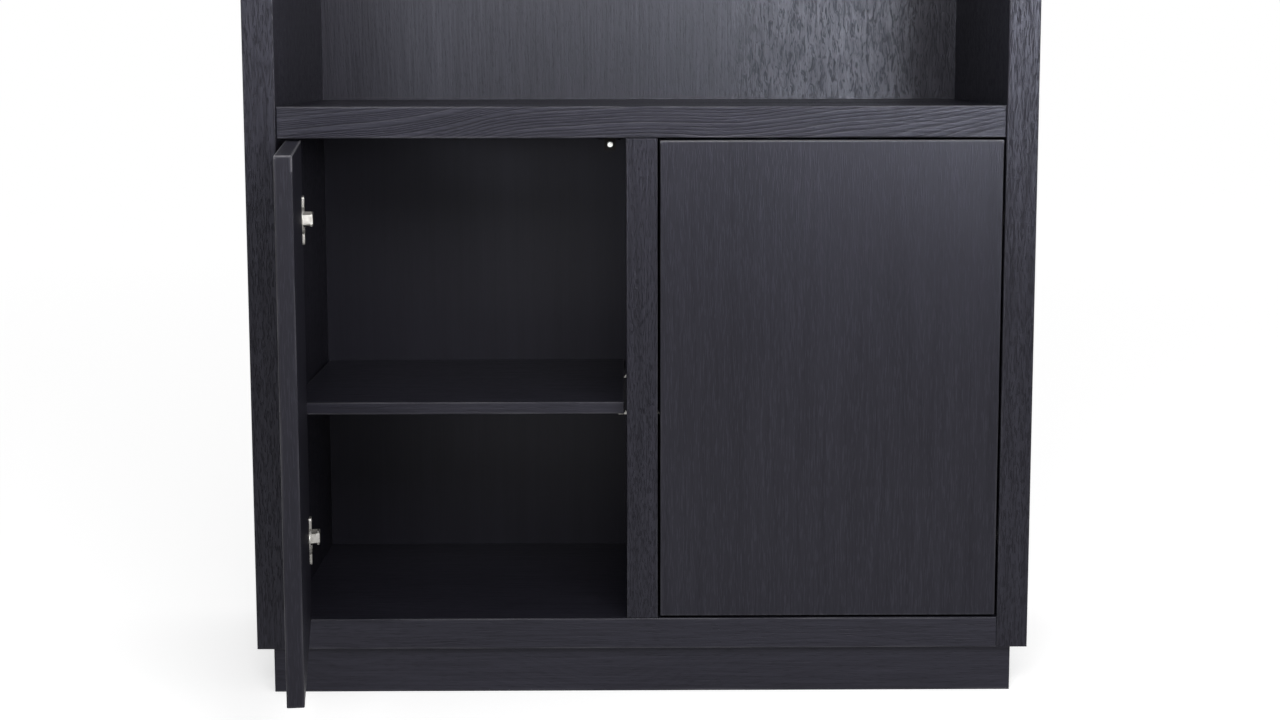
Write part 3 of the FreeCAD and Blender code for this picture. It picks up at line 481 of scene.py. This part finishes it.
# %% One oak for each board
OAK_BOARDS = {
    "oak_upright": {"direction": "Z", "pith": (0.05, 0.02), "lean": (0.02, 0.01), "pitch": 0.0032,
                    "figure": 0.22, "streak": 1.0, "speckle": 0.60, "draw": 0.11, "lift": -0.03, "band": 0.4,
                    "relief_strength": 0.8, "wear": 0.35, "bare_axes": "XY"},
    # On the doors the top edge gets a painted highlight and the inner top corners are rubbed; the strips are
    # darkened, partly with painted shade.
    "oak_door": {"direction": "Z", "pith": (0.46, 0.71), "pitch": 0.0042, "figure": 0.10, "streak": 0.42,
                 "speckle": -0.30, "lift": -0.17, "wear": 0.5, "top_highlight_and_rub": 0.6, "strip_stain_and_shade": 0.2},
    "oak_back": {"direction": "Z", "pith": (0.60, 0.30), "pitch": 0.0050, "figure": 0.12, "streak": 0.6,
                 "speckle": 0.14, "draw": 0.15, "lift": -0.02, "bare_axes": "", "flecks_from": 0.15,
                 "lacquer_above": 0.74},
    "oak_shelf": {"direction": "X", "pith": (-0.16, -0.07), "lean": (0.0, 0.08), "pitch": 0.0032,
                  "sway": 0.05, "figure": 0.95, "lift": -0.03, "gloss": 0.32, "bare_axes": "YZ"},
    "oak_loose_shelf": {"direction": "X", "pith": (0.30, -0.31), "lean": (0.0, 0.04), "pitch": 0.0045,
                        "lift": 0.18},
    "oak_plinth": {"direction": "X", "pith": (0.57, 0.16), "lean": (0.0, 0.02), "pitch": 0.0026,
                   "figure": 0.14, "lift": 0.14, "bare_axes": "YZ"},
}
SIDEWAYS_RAIL = {"direction": "Y", "bare_axes": "XZ"}
OTHERWISE = {
    "bottom_panel": {"figure": 0.20, "pitch": 0.0026, "lean": (0.0, 0.02), "lift": 0.14},
    "plinth_left_rail": SIDEWAYS_RAIL,
    "plinth_right_rail": SIDEWAYS_RAIL,
    "plinth_cross_rail": SIDEWAYS_RAIL,
}
HINGE = next(joint for joint in frame["joints"] if joint["name"] == "left_door_hinge")
OPEN_ANGLE = -math.radians(HINGE["range_deg"][0])
PIVOT = Vector(HINGE["pos_m"])
SHUT_TURN = Matrix.Rotation(OPEN_ANGLE, 3, "Z")
SHUT_SHIFT = PIVOT - SHUT_TURN @ PIVOT


def board_style(node):
    """How one board is sawn, its box when shut, and the turn that shuts the open door."""
    style = {**OAK_BOARDS[SLOT_OF[node]], **OTHERWISE.get(node, {})}
    low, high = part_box(node)
    if node == "left_door_panel":
        low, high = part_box("right_door_panel")
        low, high = Vector((-high.x, low.y, low.z)), Vector((-low.x, high.y, high.z))
        style["turn"] = {"Rotation": (0.0, 0.0, OPEN_ANGLE), "Location": tuple(SHUT_SHIFT)}
    order = AXES.index(style["direction"])
    middle = (low + high) / 2
    style["pith"] = (middle[order - 2] + style["pith"][0], middle[order - 1] + style["pith"][1])
    return {"box": (low, high), **style}


def finish_node(node, material):
    """Give a node of the frame its material."""
    NODES[node].data.materials.clear()
    NODES[node].data.materials.append(material)


oak_nodes = sorted(node for node, slot in SLOT_OF.items() if slot in OAK_BOARDS)
for seed, node in enumerate(oak_nodes):
    finish_node(node, oak_finish(f"black_oak_{node}", seed=seed, **board_style(node)))
print(f"{len(oak_nodes)} oak boards")

# %% [markdown]
# The hinges and the shelf pins are pressed from steel strip and nickel plated; the hinge pins and the
# springs are drawn wire; the cam discs are cast in zinc. A mirror would be too clean for any of them.
# Rolling and drawing leave fine lines along the metal, fingers leave dull smears, and a casting has a
# sandy skin. So each metal is two greys mixed by smears, which also change the roughness, and lines or
# grains as a very low relief.

# %% Metals
METALS = {
    "nickel": {"bright": (0.45, 0.44, 0.42), "dull": (0.33, 0.32, 0.30), "rough": 0.38,
               "draw": (1.0, 1.0, 0.03), "lines": 2600.0, "depth": 0.00003},
    "spring_steel": {"bright": (0.40, 0.40, 0.41), "dull": (0.24, 0.24, 0.25), "rough": 0.26,
                     "draw": (1.0, 1.0, 0.05), "lines": 3200.0, "depth": 0.00002},
    "zinc_screw": {"bright": (0.46, 0.47, 0.50), "dull": (0.36, 0.34, 0.29), "rough": 0.32,
                   "draw": (1.0, 1.0, 1.0), "lines": 1800.0, "depth": 0.00002},
    "blackened_screw": {"bright": (0.020, 0.019, 0.021), "dull": (0.008, 0.008, 0.009), "rough": 0.48,
                        "draw": (1.0, 1.0, 1.0), "lines": 1800.0, "depth": 0.00003},
    "zinc_casting": {"bright": (0.40, 0.41, 0.43), "dull": (0.27, 0.27, 0.29), "rough": 0.46,
                     "draw": (1.0, 1.0, 1.0), "lines": 1400.0, "depth": 0.00012},
}
SMEAR_SCALE, SMEAR_DETAIL, SMEAR_CURL = 110.0, 4.0, 0.6
SMEAR_CURVE = ((0.35, 0.0), (0.65, 1.0))
SMEAR_DULLS, LINE_DULLS, LINE_RELIEF = 0.14, 0.16, 0.5


def metal_finish(name, bright, dull, rough, draw, lines, depth):
    """Bare or plated metal: smears between a bright and a dull grey, and fine drawn lines or grains."""
    material, shader, point = blank_finish(name)
    smear = ramp(noise(point, SMEAR_SCALE, SMEAR_DETAIL, SMEAR_CURL), *SMEAR_CURVE)
    line = noise(stretch(point, draw), lines)
    feed(shader.inputs["Base Color"], blend(smear, (*dull, 1.0), (*bright, 1.0)))
    feed(shader.inputs["Roughness"], rough + (1.0 - smear) * SMEAR_DULLS + (line - 0.5) * LINE_DULLS)
    feed(shader.inputs["Normal"], relief(line, depth, LINE_RELIEF))
    shader.inputs["Metallic"].default_value = 1.0
    return material


metals = {name: metal_finish(name, **numbers) for name, numbers in METALS.items()}
print(f"{len(metals)} metals")

# %% [markdown]
# The push latches are moulded: a dark housing with the fine sandy skin of a spark-eroded mould, and a
# white plunger that doors have polished and scuffed. The wall bracket is powder coated: the powder melts
# into a skin with the low bumps of orange peel. These differ in the size of their bumps, so one recipe
# serves for them all.

# %% Plastics and powder coat
COATINGS = {
    "dark_plastic": {"fresh": (0.0038, 0.0030, 0.0026), "scuffed": (0.0090, 0.0080, 0.0075), "rough": 0.66,
                     "shine": 0.06, "bumps": 2600.0, "depth": 0.00008},
    "white_plastic": {"fresh": (0.80, 0.80, 0.77), "scuffed": (0.66, 0.63, 0.56), "rough": 0.34,
                      "shine": 0.50, "bumps": 900.0, "depth": 0.00002},
    "black_bracket": {"fresh": (0.013, 0.013, 0.014), "scuffed": (0.040, 0.040, 0.042), "rough": 0.46,
                      "shine": 0.40, "bumps": 700.0, "depth": 0.00020},
}
SCUFF_SCALE, SCUFF_DETAIL, SCUFF_CURL, SCUFF_DRAW = 160.0, 3.0, 0.8, (1.0, 0.25, 1.0)
SCUFF_CURVE = ((0.52, 0.0), (0.74, 1.0))
SCUFF_DULLS, BUMP_DULLS, BUMP_RELIEF = 0.15, 0.12, 0.6


def coated_finish(name, fresh, scuffed, rough, shine, bumps, depth):
    """Moulded plastic or powder coat: small bumps all over, and scuffs that are paler and rougher."""
    material, shader, point = blank_finish(name)
    scuff = ramp(noise(stretch(point, SCUFF_DRAW), SCUFF_SCALE, SCUFF_DETAIL, SCUFF_CURL), *SCUFF_CURVE)
    bump = noise(point, bumps, detail=1.0)
    feed(shader.inputs["Base Color"], blend(scuff, (*fresh, 1.0), (*scuffed, 1.0)))
    feed(shader.inputs["Roughness"], rough + scuff * SCUFF_DULLS + (bump - 0.5) * BUMP_DULLS)
    feed(shader.inputs["Normal"], relief(bump, depth, BUMP_RELIEF))
    shader.inputs["Specular IOR Level"].default_value = shine
    return material


coatings = {name: coated_finish(name, **numbers) for name, numbers in COATINGS.items()}
print(f"{len(coatings)} coatings")

# %% [markdown]
# The dowels and the glue blocks in the plinth are plain beech, which nobody stains because nobody sees
# it. Beech has faint rings and fine fibres, and its rays show as short brown dashes all over. It is made
# with the same log as the oak, with other sizes and colours.

# %% Plain beech
BEECH_PALE = (0.58, 0.41, 0.25, 1.0)
BEECH_DARK = (0.42, 0.27, 0.15, 1.0)
BEECH_RAY = (0.24, 0.14, 0.07, 1.0)
BEECH_ALONG = {"dowels": "X", "plinth_corner_blocks": "Z"}
BEECH_LOG = {"pith": (0.05, 0.07), "lean": (0.01, 0.01), "pitch": 0.0022, "sway": 0.02,
             "shift": (1.7, 0.4, 2.9)}
BEECH_FIGURE, BEECH_LEVEL, RAY_TINT = 0.35, 0.3, 0.5
BEECH_ROUGH, RAY_DULLS, BEECH_SHINE = 0.58, 0.1, 0.30
PLANED_DEPTH, PLANED_RELIEF, RAY_SINKS = 0.0003, 0.4, 0.5


def beech_finish(name, direction):
    """Beech whose grain runs along X, Y or Z: fibres and faint rings between two browns, and ray dashes."""
    material, shader, point = blank_finish(name)
    rings = growth_rings(point, direction, **BEECH_LOG)
    streak = fibres(point, direction, BEECH_LOG["shift"])
    dash = pores(point, direction, BEECH_LOG["shift"])
    plain = blend(rings * BEECH_FIGURE + streak + BEECH_LEVEL, BEECH_DARK, BEECH_PALE)
    feed(shader.inputs["Base Color"], blend(dash * RAY_TINT, plain, BEECH_RAY))
    feed(shader.inputs["Roughness"], BEECH_ROUGH + dash * RAY_DULLS)
    feed(shader.inputs["Normal"], relief(streak - dash * RAY_SINKS, PLANED_DEPTH, PLANED_RELIEF))
    shader.inputs["Specular IOR Level"].default_value = BEECH_SHINE
    return material


for node, direction in BEECH_ALONG.items():
    finish_node(node, beech_finish(f"plain_beech_{node}", direction))
for node, slot in SLOT_OF.items():
    if slot in metals or slot in coatings:
        finish_node(node, {**metals, **coatings}[slot])
print(f"{len(BEECH_ALONG)} beech nodes")

# %% [markdown]
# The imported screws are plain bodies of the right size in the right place. A real one has a cross pressed
# into its head, a thread and a point, and the heads on the hinges show. So each group is measured first:
# its corners fall into clusters with clear space between, one for each screw, and the widest ring of a
# cluster is its head. The screws on the open door stand square to the door, so their corners are turned
# shut before they are measured.

# %% Measure the screws
SCREW_ALONG = {"back_panel_screws": "Y", "plinth_screws": "Z", "wall_bracket_screws": "Z"}
for side in ("left", "right"):
    SCREW_ALONG |= {f"{side}_hinge_cup_screws": "Y", f"{side}_hinge_plate_screws": "X",
                    f"{side}_hinge_arm_screws": "X", f"{side}_latch_screws": "Z"}
ON_OPEN_DOOR = "left_hinge_cup_screws"
CLEAR_SPACE = 0.006
SAME_PLACE = 1e-5


def node_corners(node):
    """The corners of a node's mesh as rows of x, y and z, with those on the open door turned shut."""
    mesh = NODES[node].data
    corners = np.empty(len(mesh.vertices) * 3)
    mesh.vertices.foreach_get("co", corners)
    corners = corners.reshape(-1, 3)
    if node == ON_OPEN_DOOR:
        corners = corners @ np.array(SHUT_TURN).T + np.array(SHUT_SHIFT)
    return corners


def clusters(values):
    """Number the clusters of values: in sorted order, each gap wider than CLEAR_SPACE starts a new one."""
    order = np.argsort(values)
    number = np.empty(len(values), int)
    number[order] = np.concatenate(([0], np.cumsum(np.diff(values[order]) > CLEAR_SPACE)))
    return number


def measure_screws(node):
    """Each screw of a node: its line, where its head's face and its tip are on that line, and its radii."""
    corners = node_corners(node)
    along = AXES.index(SCREW_ALONG[node])
    across = corners[:, [(along + 1) % 3, (along + 2) % 3]]
    number = clusters(across[:, 0]) * len(corners) + clusters(across[:, 1])
    screws = []
    for label in np.unique(number):
        own = number == label
        line = (across[own].min(0) + across[own].max(0)) / 2
        radius = np.hypot(*(across[own] - line).T)
        place = corners[own, along]
        wide = place[radius > radius.max() - SAME_PLACE]
        ends = sorted((place.min(), place.max()), key=lambda end: abs(end - wide.mean()))
        shank = radius[abs(place - ends[1]) < SAME_PLACE].max()
        under = abs(place[radius < shank + SAME_PLACE] - ends[0]).min()
        screws.append({"line": line, "head": ends[0], "tip": ends[1], "head_radius": radius.max(),
                       "shank": shank, "head_height": under, "domed": np.ptp(wide) > SAME_PLACE})
    return screws


groups = {node: measure_screws(node) for node in SCREW_ALONG}
print(f"{sum(len(group) for group in groups.values())} screws in {len(groups)} groups")

# %% [markdown]
# A screw is a surface of revolution, rings of points from the middle of its head to its tip, but two
# things on it aren't round. The cross sinks the rings of the head where the point lies in one of two
# crossed slots. The thread swells the rings of the shank by a ridge that moves on by one pitch with each
# turn, so it is a helix. Both are one formula over the whole grid of angles and rings. Two single points
# close the ends.

# %% Shape a screw
ANGLES = 40
HEAD_RINGS, HEAD_FROM, HEAD_TO, RIM = 12, 0.08, 0.94, 0.985
RIM_FALL, FLAT_RIM = 0.02, 0.04
THREAD_PITCH, RIDGE_HALF, THREAD_CORE = 0.0016, 0.3, 0.66
RINGS_PER_PITCH, FEWEST_RINGS = 4, 6
TIP_DIAMETERS = 1.4
SLOT_HALF, SLOT_REACH, SLOT_WALL = 0.13, 0.60, 0.10
CROSS_DEPTH, DOME = 0.65, 0.45
FULL_TURN = 2.0 * np.pi


def crossed_slots(u, v):
    """1 in two slots that cross at the middle, sloping to 0 over their walls; lengths are in head radii."""
    def slot(over, along):
        inside = np.clip((SLOT_HALF - abs(over)) / SLOT_WALL + 0.5, 0.0, 1.0)
        return inside * np.clip((SLOT_REACH - abs(along)) / SLOT_WALL + 0.5, 0.0, 1.0)
    return np.maximum(slot(u, v), slot(v, u))


def screw_thread(size, turn, length):
    """Rings of (radius, depth) from the head to the tip: the shank swells where a helical ridge passes."""
    top, end = size["head_height"], length - TIP_DIAMETERS * 2.0 * size["shank"]
    rows = max(FEWEST_RINGS, round((end - top) / THREAD_PITCH * RINGS_PER_PITCH))
    depth = np.linspace(top, end, rows)[:, None]
    from_ridge = abs((depth / THREAD_PITCH - turn / FULL_TURN) % 1.0 - 0.5)
    ridge = np.clip(1.0 - from_ridge / RIDGE_HALF, 0.0, 1.0)
    swell = THREAD_CORE + (1.0 - THREAD_CORE) * ridge
    return np.stack([size["shank"] * swell, depth + 0.0 * turn], axis=-1)


def screw_rings(size):
    """Rings of (radius, depth below the head's face) over all angles: the head, its rim and the thread."""
    turn = np.linspace(0.0, FULL_TURN, ANGLES, endpoint=False)
    height, length = size["head_height"], abs(size["tip"] - size["head"])
    share = np.linspace(HEAD_FROM, HEAD_TO, HEAD_RINGS)[:, None]
    dome = DOME * height if size["domed"] else 0.0
    sunk = crossed_slots(share * np.cos(turn), share * np.sin(turn)) * CROSS_DEPTH * height
    head = np.stack([share * size["head_radius"] + 0.0 * turn, dome * share ** 2 + sunk], axis=-1)
    rim_depths = (dome + RIM_FALL * height, height if size["domed"] else FLAT_RIM * height)
    rim = np.array([[(RIM * size["head_radius"], depth)] * ANGLES for depth in rim_depths])
    thread = screw_thread(size, turn, length)
    return np.concatenate([head, rim, thread]), turn, CROSS_DEPTH * height, length


def screw_surface(size, along):
    """The points of one screw where it stands in the frame, its head's middle first and its tip last."""
    rings, turn, middle, length = screw_rings(size)
    radius, depth = rings[..., 0], rings[..., 1]
    round_points = np.stack([radius * np.cos(turn), radius * np.sin(turn), depth], axis=-1).reshape(-1, 3)
    local = np.concatenate([[(0.0, 0.0, middle)], round_points, [(0.0, 0.0, length)]])
    way = np.sign(size["tip"] - size["head"])
    first, second = (0, 1) if way > 0 else (1, 0)
    points = np.empty_like(local)
    points[:, (along + 1) % 3] = size["line"][0] + local[:, first]
    points[:, (along + 2) % 3] = size["line"][1] + local[:, second]
    points[:, along] = size["head"] + way * local[:, 2]
    return points, len(rings)


print(f"{ANGLES} points round a screw")

# %% [markdown]
# The faces follow from the order of the points: a quad between each two neighbours on two rings, and a
# fan of triangles at either end. Each group of screws becomes one piece that stands in for its node. It
# rides on the node's body, so the screws in a door swing with it.

# %% Put the screws in place
def ring_faces(rows, around, start):
    """Quads between neighbouring rings, and fans of triangles to the first and the last point."""
    ring = start + 1 + np.arange(rows * around).reshape(rows, around)
    beside = np.roll(ring, -1, axis=1)
    quads = np.stack([ring[:-1], beside[:-1], beside[1:], ring[1:]], axis=-1).reshape(-1, 4)
    first = np.stack([np.full(around, start), beside[0], ring[0]], axis=-1)
    last = np.stack([np.full(around, start + 1 + rows * around), ring[-1], beside[-1]], axis=-1)
    return quads.tolist() + first.tolist() + last.tolist()


def stand_for(node, name, points, faces, material):
    """A new piece in place of a node: it rides on the node's body and takes the given material."""
    mesh = bpy.data.meshes.new(name)
    mesh.from_pydata(points.tolist(), [], faces)
    mesh.materials.append(material)
    piece = bpy.data.objects.new(name, mesh)
    bpy.context.scene.collection.objects.link(piece)
    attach(piece, BODY_OF[node])
    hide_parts(node)
    return piece


def screw_group(node, material):
    """All screws of one node as one piece."""
    along = AXES.index(SCREW_ALONG[node])
    points, faces = np.empty((0, 3)), []
    for size in groups[node]:
        surface, rows = screw_surface(size, along)
        faces += ring_faces(rows, ANGLES, len(points))
        points = np.concatenate([points, surface])
    if node == ON_OPEN_DOOR:
        points = (points - np.array(SHUT_SHIFT)) @ np.array(SHUT_TURN)
    stand_for(node, f"cross_head_{node}", points, faces, material)
    return len(faces)


BLACKENED = ("left_latch_screws", "right_latch_screws", "wall_bracket_screws")
screw_face_count = sum(
    screw_group(node, metals["blackened_screw" if node in BLACKENED else "zinc_screw"]) for node in groups)
print(f"{screw_face_count} faces on the screws")

# %% [markdown]
# In each push latch a coil spring sits behind the plunger and gives way when the door is pushed. The
# packed spring is rigid, so the plunger would run into it. This one is wound again as a tube: a circle
# carried along a helix whose first and last turns lie close, as on a real spring with closed ends.

# %% Wind the latch springs
WIRE, WIRE_SIDES = 0.0008, 12
TURNS, STEPS_PER_TURN = 9, 36
CLOSED_RISE = 0.028
LATCH_JOINTS = [joint for joint in frame["joints"] if joint["name"].endswith("latch_push")]


def coil_surface(low, high):
    """A circle of wire carried along a helix about Y that fills the box; the end turns rise the least."""
    turn = np.linspace(0.0, TURNS, TURNS * STEPS_PER_TURN + 1)
    angle = FULL_TURN * turn
    rise = np.interp(turn, [0.0, 1.0, TURNS - 1.0, TURNS], [0.0, CLOSED_RISE, 1.0 - CLOSED_RISE, 1.0])
    outward = np.stack([np.sin(angle), 0.0 * angle, np.cos(angle)], axis=-1)
    path = np.array((low + high) / 2) + outward * ((high.z - low.z - WIRE) / 2)
    path[:, 1] = low.y + WIRE / 2 + rise * (high.y - low.y - WIRE)
    ahead = np.gradient(path, axis=0)
    upward = np.cross(ahead / np.linalg.norm(ahead, axis=1)[:, None], outward)
    around = np.linspace(0.0, FULL_TURN, WIRE_SIDES, endpoint=False)[:, None]
    section = np.cos(around) * outward[:, None] + np.sin(around) * upward[:, None]
    rings = path[:, None] + section * (WIRE / 2)
    return np.concatenate([path[:1], rings.reshape(-1, 3), path[-1:]]), len(rings)


def latch_spring(joint):
    """The spring that a latch's joint names, wound as a tube in the box of its node."""
    node = joint["deforming_nodes"][0]["node"]
    low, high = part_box(node)
    points, rows = coil_surface(low, high)
    faces = ring_faces(rows, WIRE_SIDES, 0)
    spring = stand_for(node, f"wound_{node}", points, faces, metals["spring_steel"])
    length, travel = high.y - low.y, joint["range_m"][1]
    1.0 - travel / length
    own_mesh(spring)
    return len(faces)


spring_face_count = sum(latch_spring(joint) for joint in LATCH_JOINTS)
print(f"{spring_face_count} faces on {len(LATCH_JOINTS)} springs")

# %% [markdown]
# The picture has a white ground, but the light on the case has to stay plain, or its black would turn
# grey. So the room has two strengths: rays from the camera, from a mirror or through glass see white, and
# the soft light that reaches the case is weaker. The floor is matt and takes the shadow of the case; a
# glow that only those rays see makes up what it lacks to be white.

# %% White floor and room
AMBIENT = 0.60
FLOOR_REACH = 40.0
FLOOR_GREY = 0.80
LAMPS_ON_FLOOR = 0.04
FAR_AWAY = 8.0
FAR_CURVE = ((0.15, 0.0), (0.8, 1.0))


def seen_directly(tree):
    """1 on rays from the camera, from a mirror or through glass, and 0 on the light that reaches the case."""
    paths = tree.nodes.new("ShaderNodeLightPath")
    camera_ray, glossy, passed = (
        Wire(paths.outputs[name]) for name in ("Is Camera Ray", "Is Glossy Ray", "Is Transmission Ray"))
    return camera_ray.math("MAXIMUM", camera_ray, glossy.math("MAXIMUM", glossy, passed))


def floor_finish():
    """Matt pale grey plus the glow that makes it white to the camera, a little more far from the lamps."""
    material = bpy.data.materials.new("white_floor")
    material.use_nodes = True
    tree = material.node_tree
    tree.nodes.remove(tree.nodes["Principled BSDF"])
    seen = seen_directly(tree)
    point = Wire(tree.nodes.new("ShaderNodeTexCoord").outputs["Object"])
    distance = point.node("VectorMath", {"operation": "LENGTH"}, {0: point}, "Value")
    far = ramp(distance / FAR_AWAY, *FAR_CURVE)
    missing = 1.0 - FLOOR_GREY * AMBIENT - LAMPS_ON_FLOOR
    matt = seen.node("BsdfDiffuse", {}, {"Color": (FLOOR_GREY, FLOOR_GREY, FLOOR_GREY, 1.0)})
    glow = seen.node("Emission", {}, {"Strength": seen * (missing + far * LAMPS_ON_FLOOR)})
    both = seen.node("AddShader", {}, {0: matt, 1: glow})
    tree.links.new(both.socket, tree.nodes["Material Output"].inputs["Surface"])
    return material


def white_floor():
    """A square as wide as twice FLOOR_REACH, at the height where the case stands."""
    mesh = bpy.data.meshes.new("floor")
    corners = np.array([(-1, -1, 0), (1, -1, 0), (1, 1, 0), (-1, 1, 0)], float) * FLOOR_REACH
    mesh.from_pydata(corners.tolist(), [], [(0, 1, 2, 3)])
    mesh.materials.append(floor_finish())
    floor = bpy.data.objects.new("floor", mesh)
    bpy.context.scene.collection.objects.link(floor)


def white_room():
    """A world that is white to the camera and to mirrors, and AMBIENT to everything else."""
    world = bpy.data.worlds.new("white_room")
    bpy.context.scene.world = world
    world.use_nodes = True
    sky = world.node_tree.nodes["Background"]
    sky.inputs["Color"].default_value = (1.0, 1.0, 1.0, 1.0)
    feed(sky.inputs["Strength"], AMBIENT + seen_directly(world.node_tree) * (1.0 - AMBIENT))


white_floor()
white_room()
print("white room")

# %% [markdown]
# Four softboxes do the rest. The largest hangs above the camera and gives the fronts their tone. One to
# the right and a weaker one to the left stand where the lacquered back and the upper ends of the sides
# mirror them towards the camera, so they put the sheen there; they are cool, as daylight is. The last
# stands further right and reaches into the open shelves, to the inner face of the left side. These three
# have narrow beams, to spare the doors.

# %% Softboxes
DAYLIGHT = (0.86, 0.92, 1.0)
WHITE = (1.0, 1.0, 1.0)
SOFTBOXES = {
    "sheen_softbox": {"place": (1.15, -3.1, 1.06), "aim": (0.50, -0.2, 1.15), "size": (0.7, 0.5),
                      "power": 2.5, "spread": 25.0, "colour": DAYLIGHT},
    "left_softbox": {"place": (-1.10, -3.1, 1.06), "aim": (-0.10, 0.1, 1.35), "size": (0.9, 0.5),
                     "power": 1.4, "spread": 30.0, "colour": DAYLIGHT},
    "front_softbox": {"place": (0.3, -2.6, 1.8), "aim": (0.0, -0.2, 0.1), "size": (1.8, 1.0),
                      "power": 59.0, "spread": 180.0, "colour": WHITE},
    "inner_softbox": {"place": (1.9, -2.6, 1.25), "aim": (-0.45, -0.1, 1.45), "size": (0.8, 0.8),
                      "power": 5.5, "spread": 35.0, "colour": WHITE},
}


def softbox(name, place, aim, size, power, spread, colour):
    """A rectangular lamp at a place, facing its aim; a small spread, in degrees, narrows its beam."""
    lamp = bpy.data.lights.new(name, "AREA")
    lamp.shape = "RECTANGLE"
    lamp.size, lamp.size_y = size
    lamp.energy = power
    lamp.spread = math.radians(spread)
    lamp.color = colour
    holder = bpy.data.objects.new(name, lamp)
    holder.rotation_euler = (Vector(aim) - Vector(place)).to_track_quat("-Z", "Y").to_euler()
    holder.location = place
    bpy.context.scene.collection.objects.link(holder)


for name, numbers in SOFTBOXES.items():
    softbox(name, **numbers)
bpy.context.scene.view_settings.view_transform = "Standard"
print(f"{len(SOFTBOXES)} softboxes")
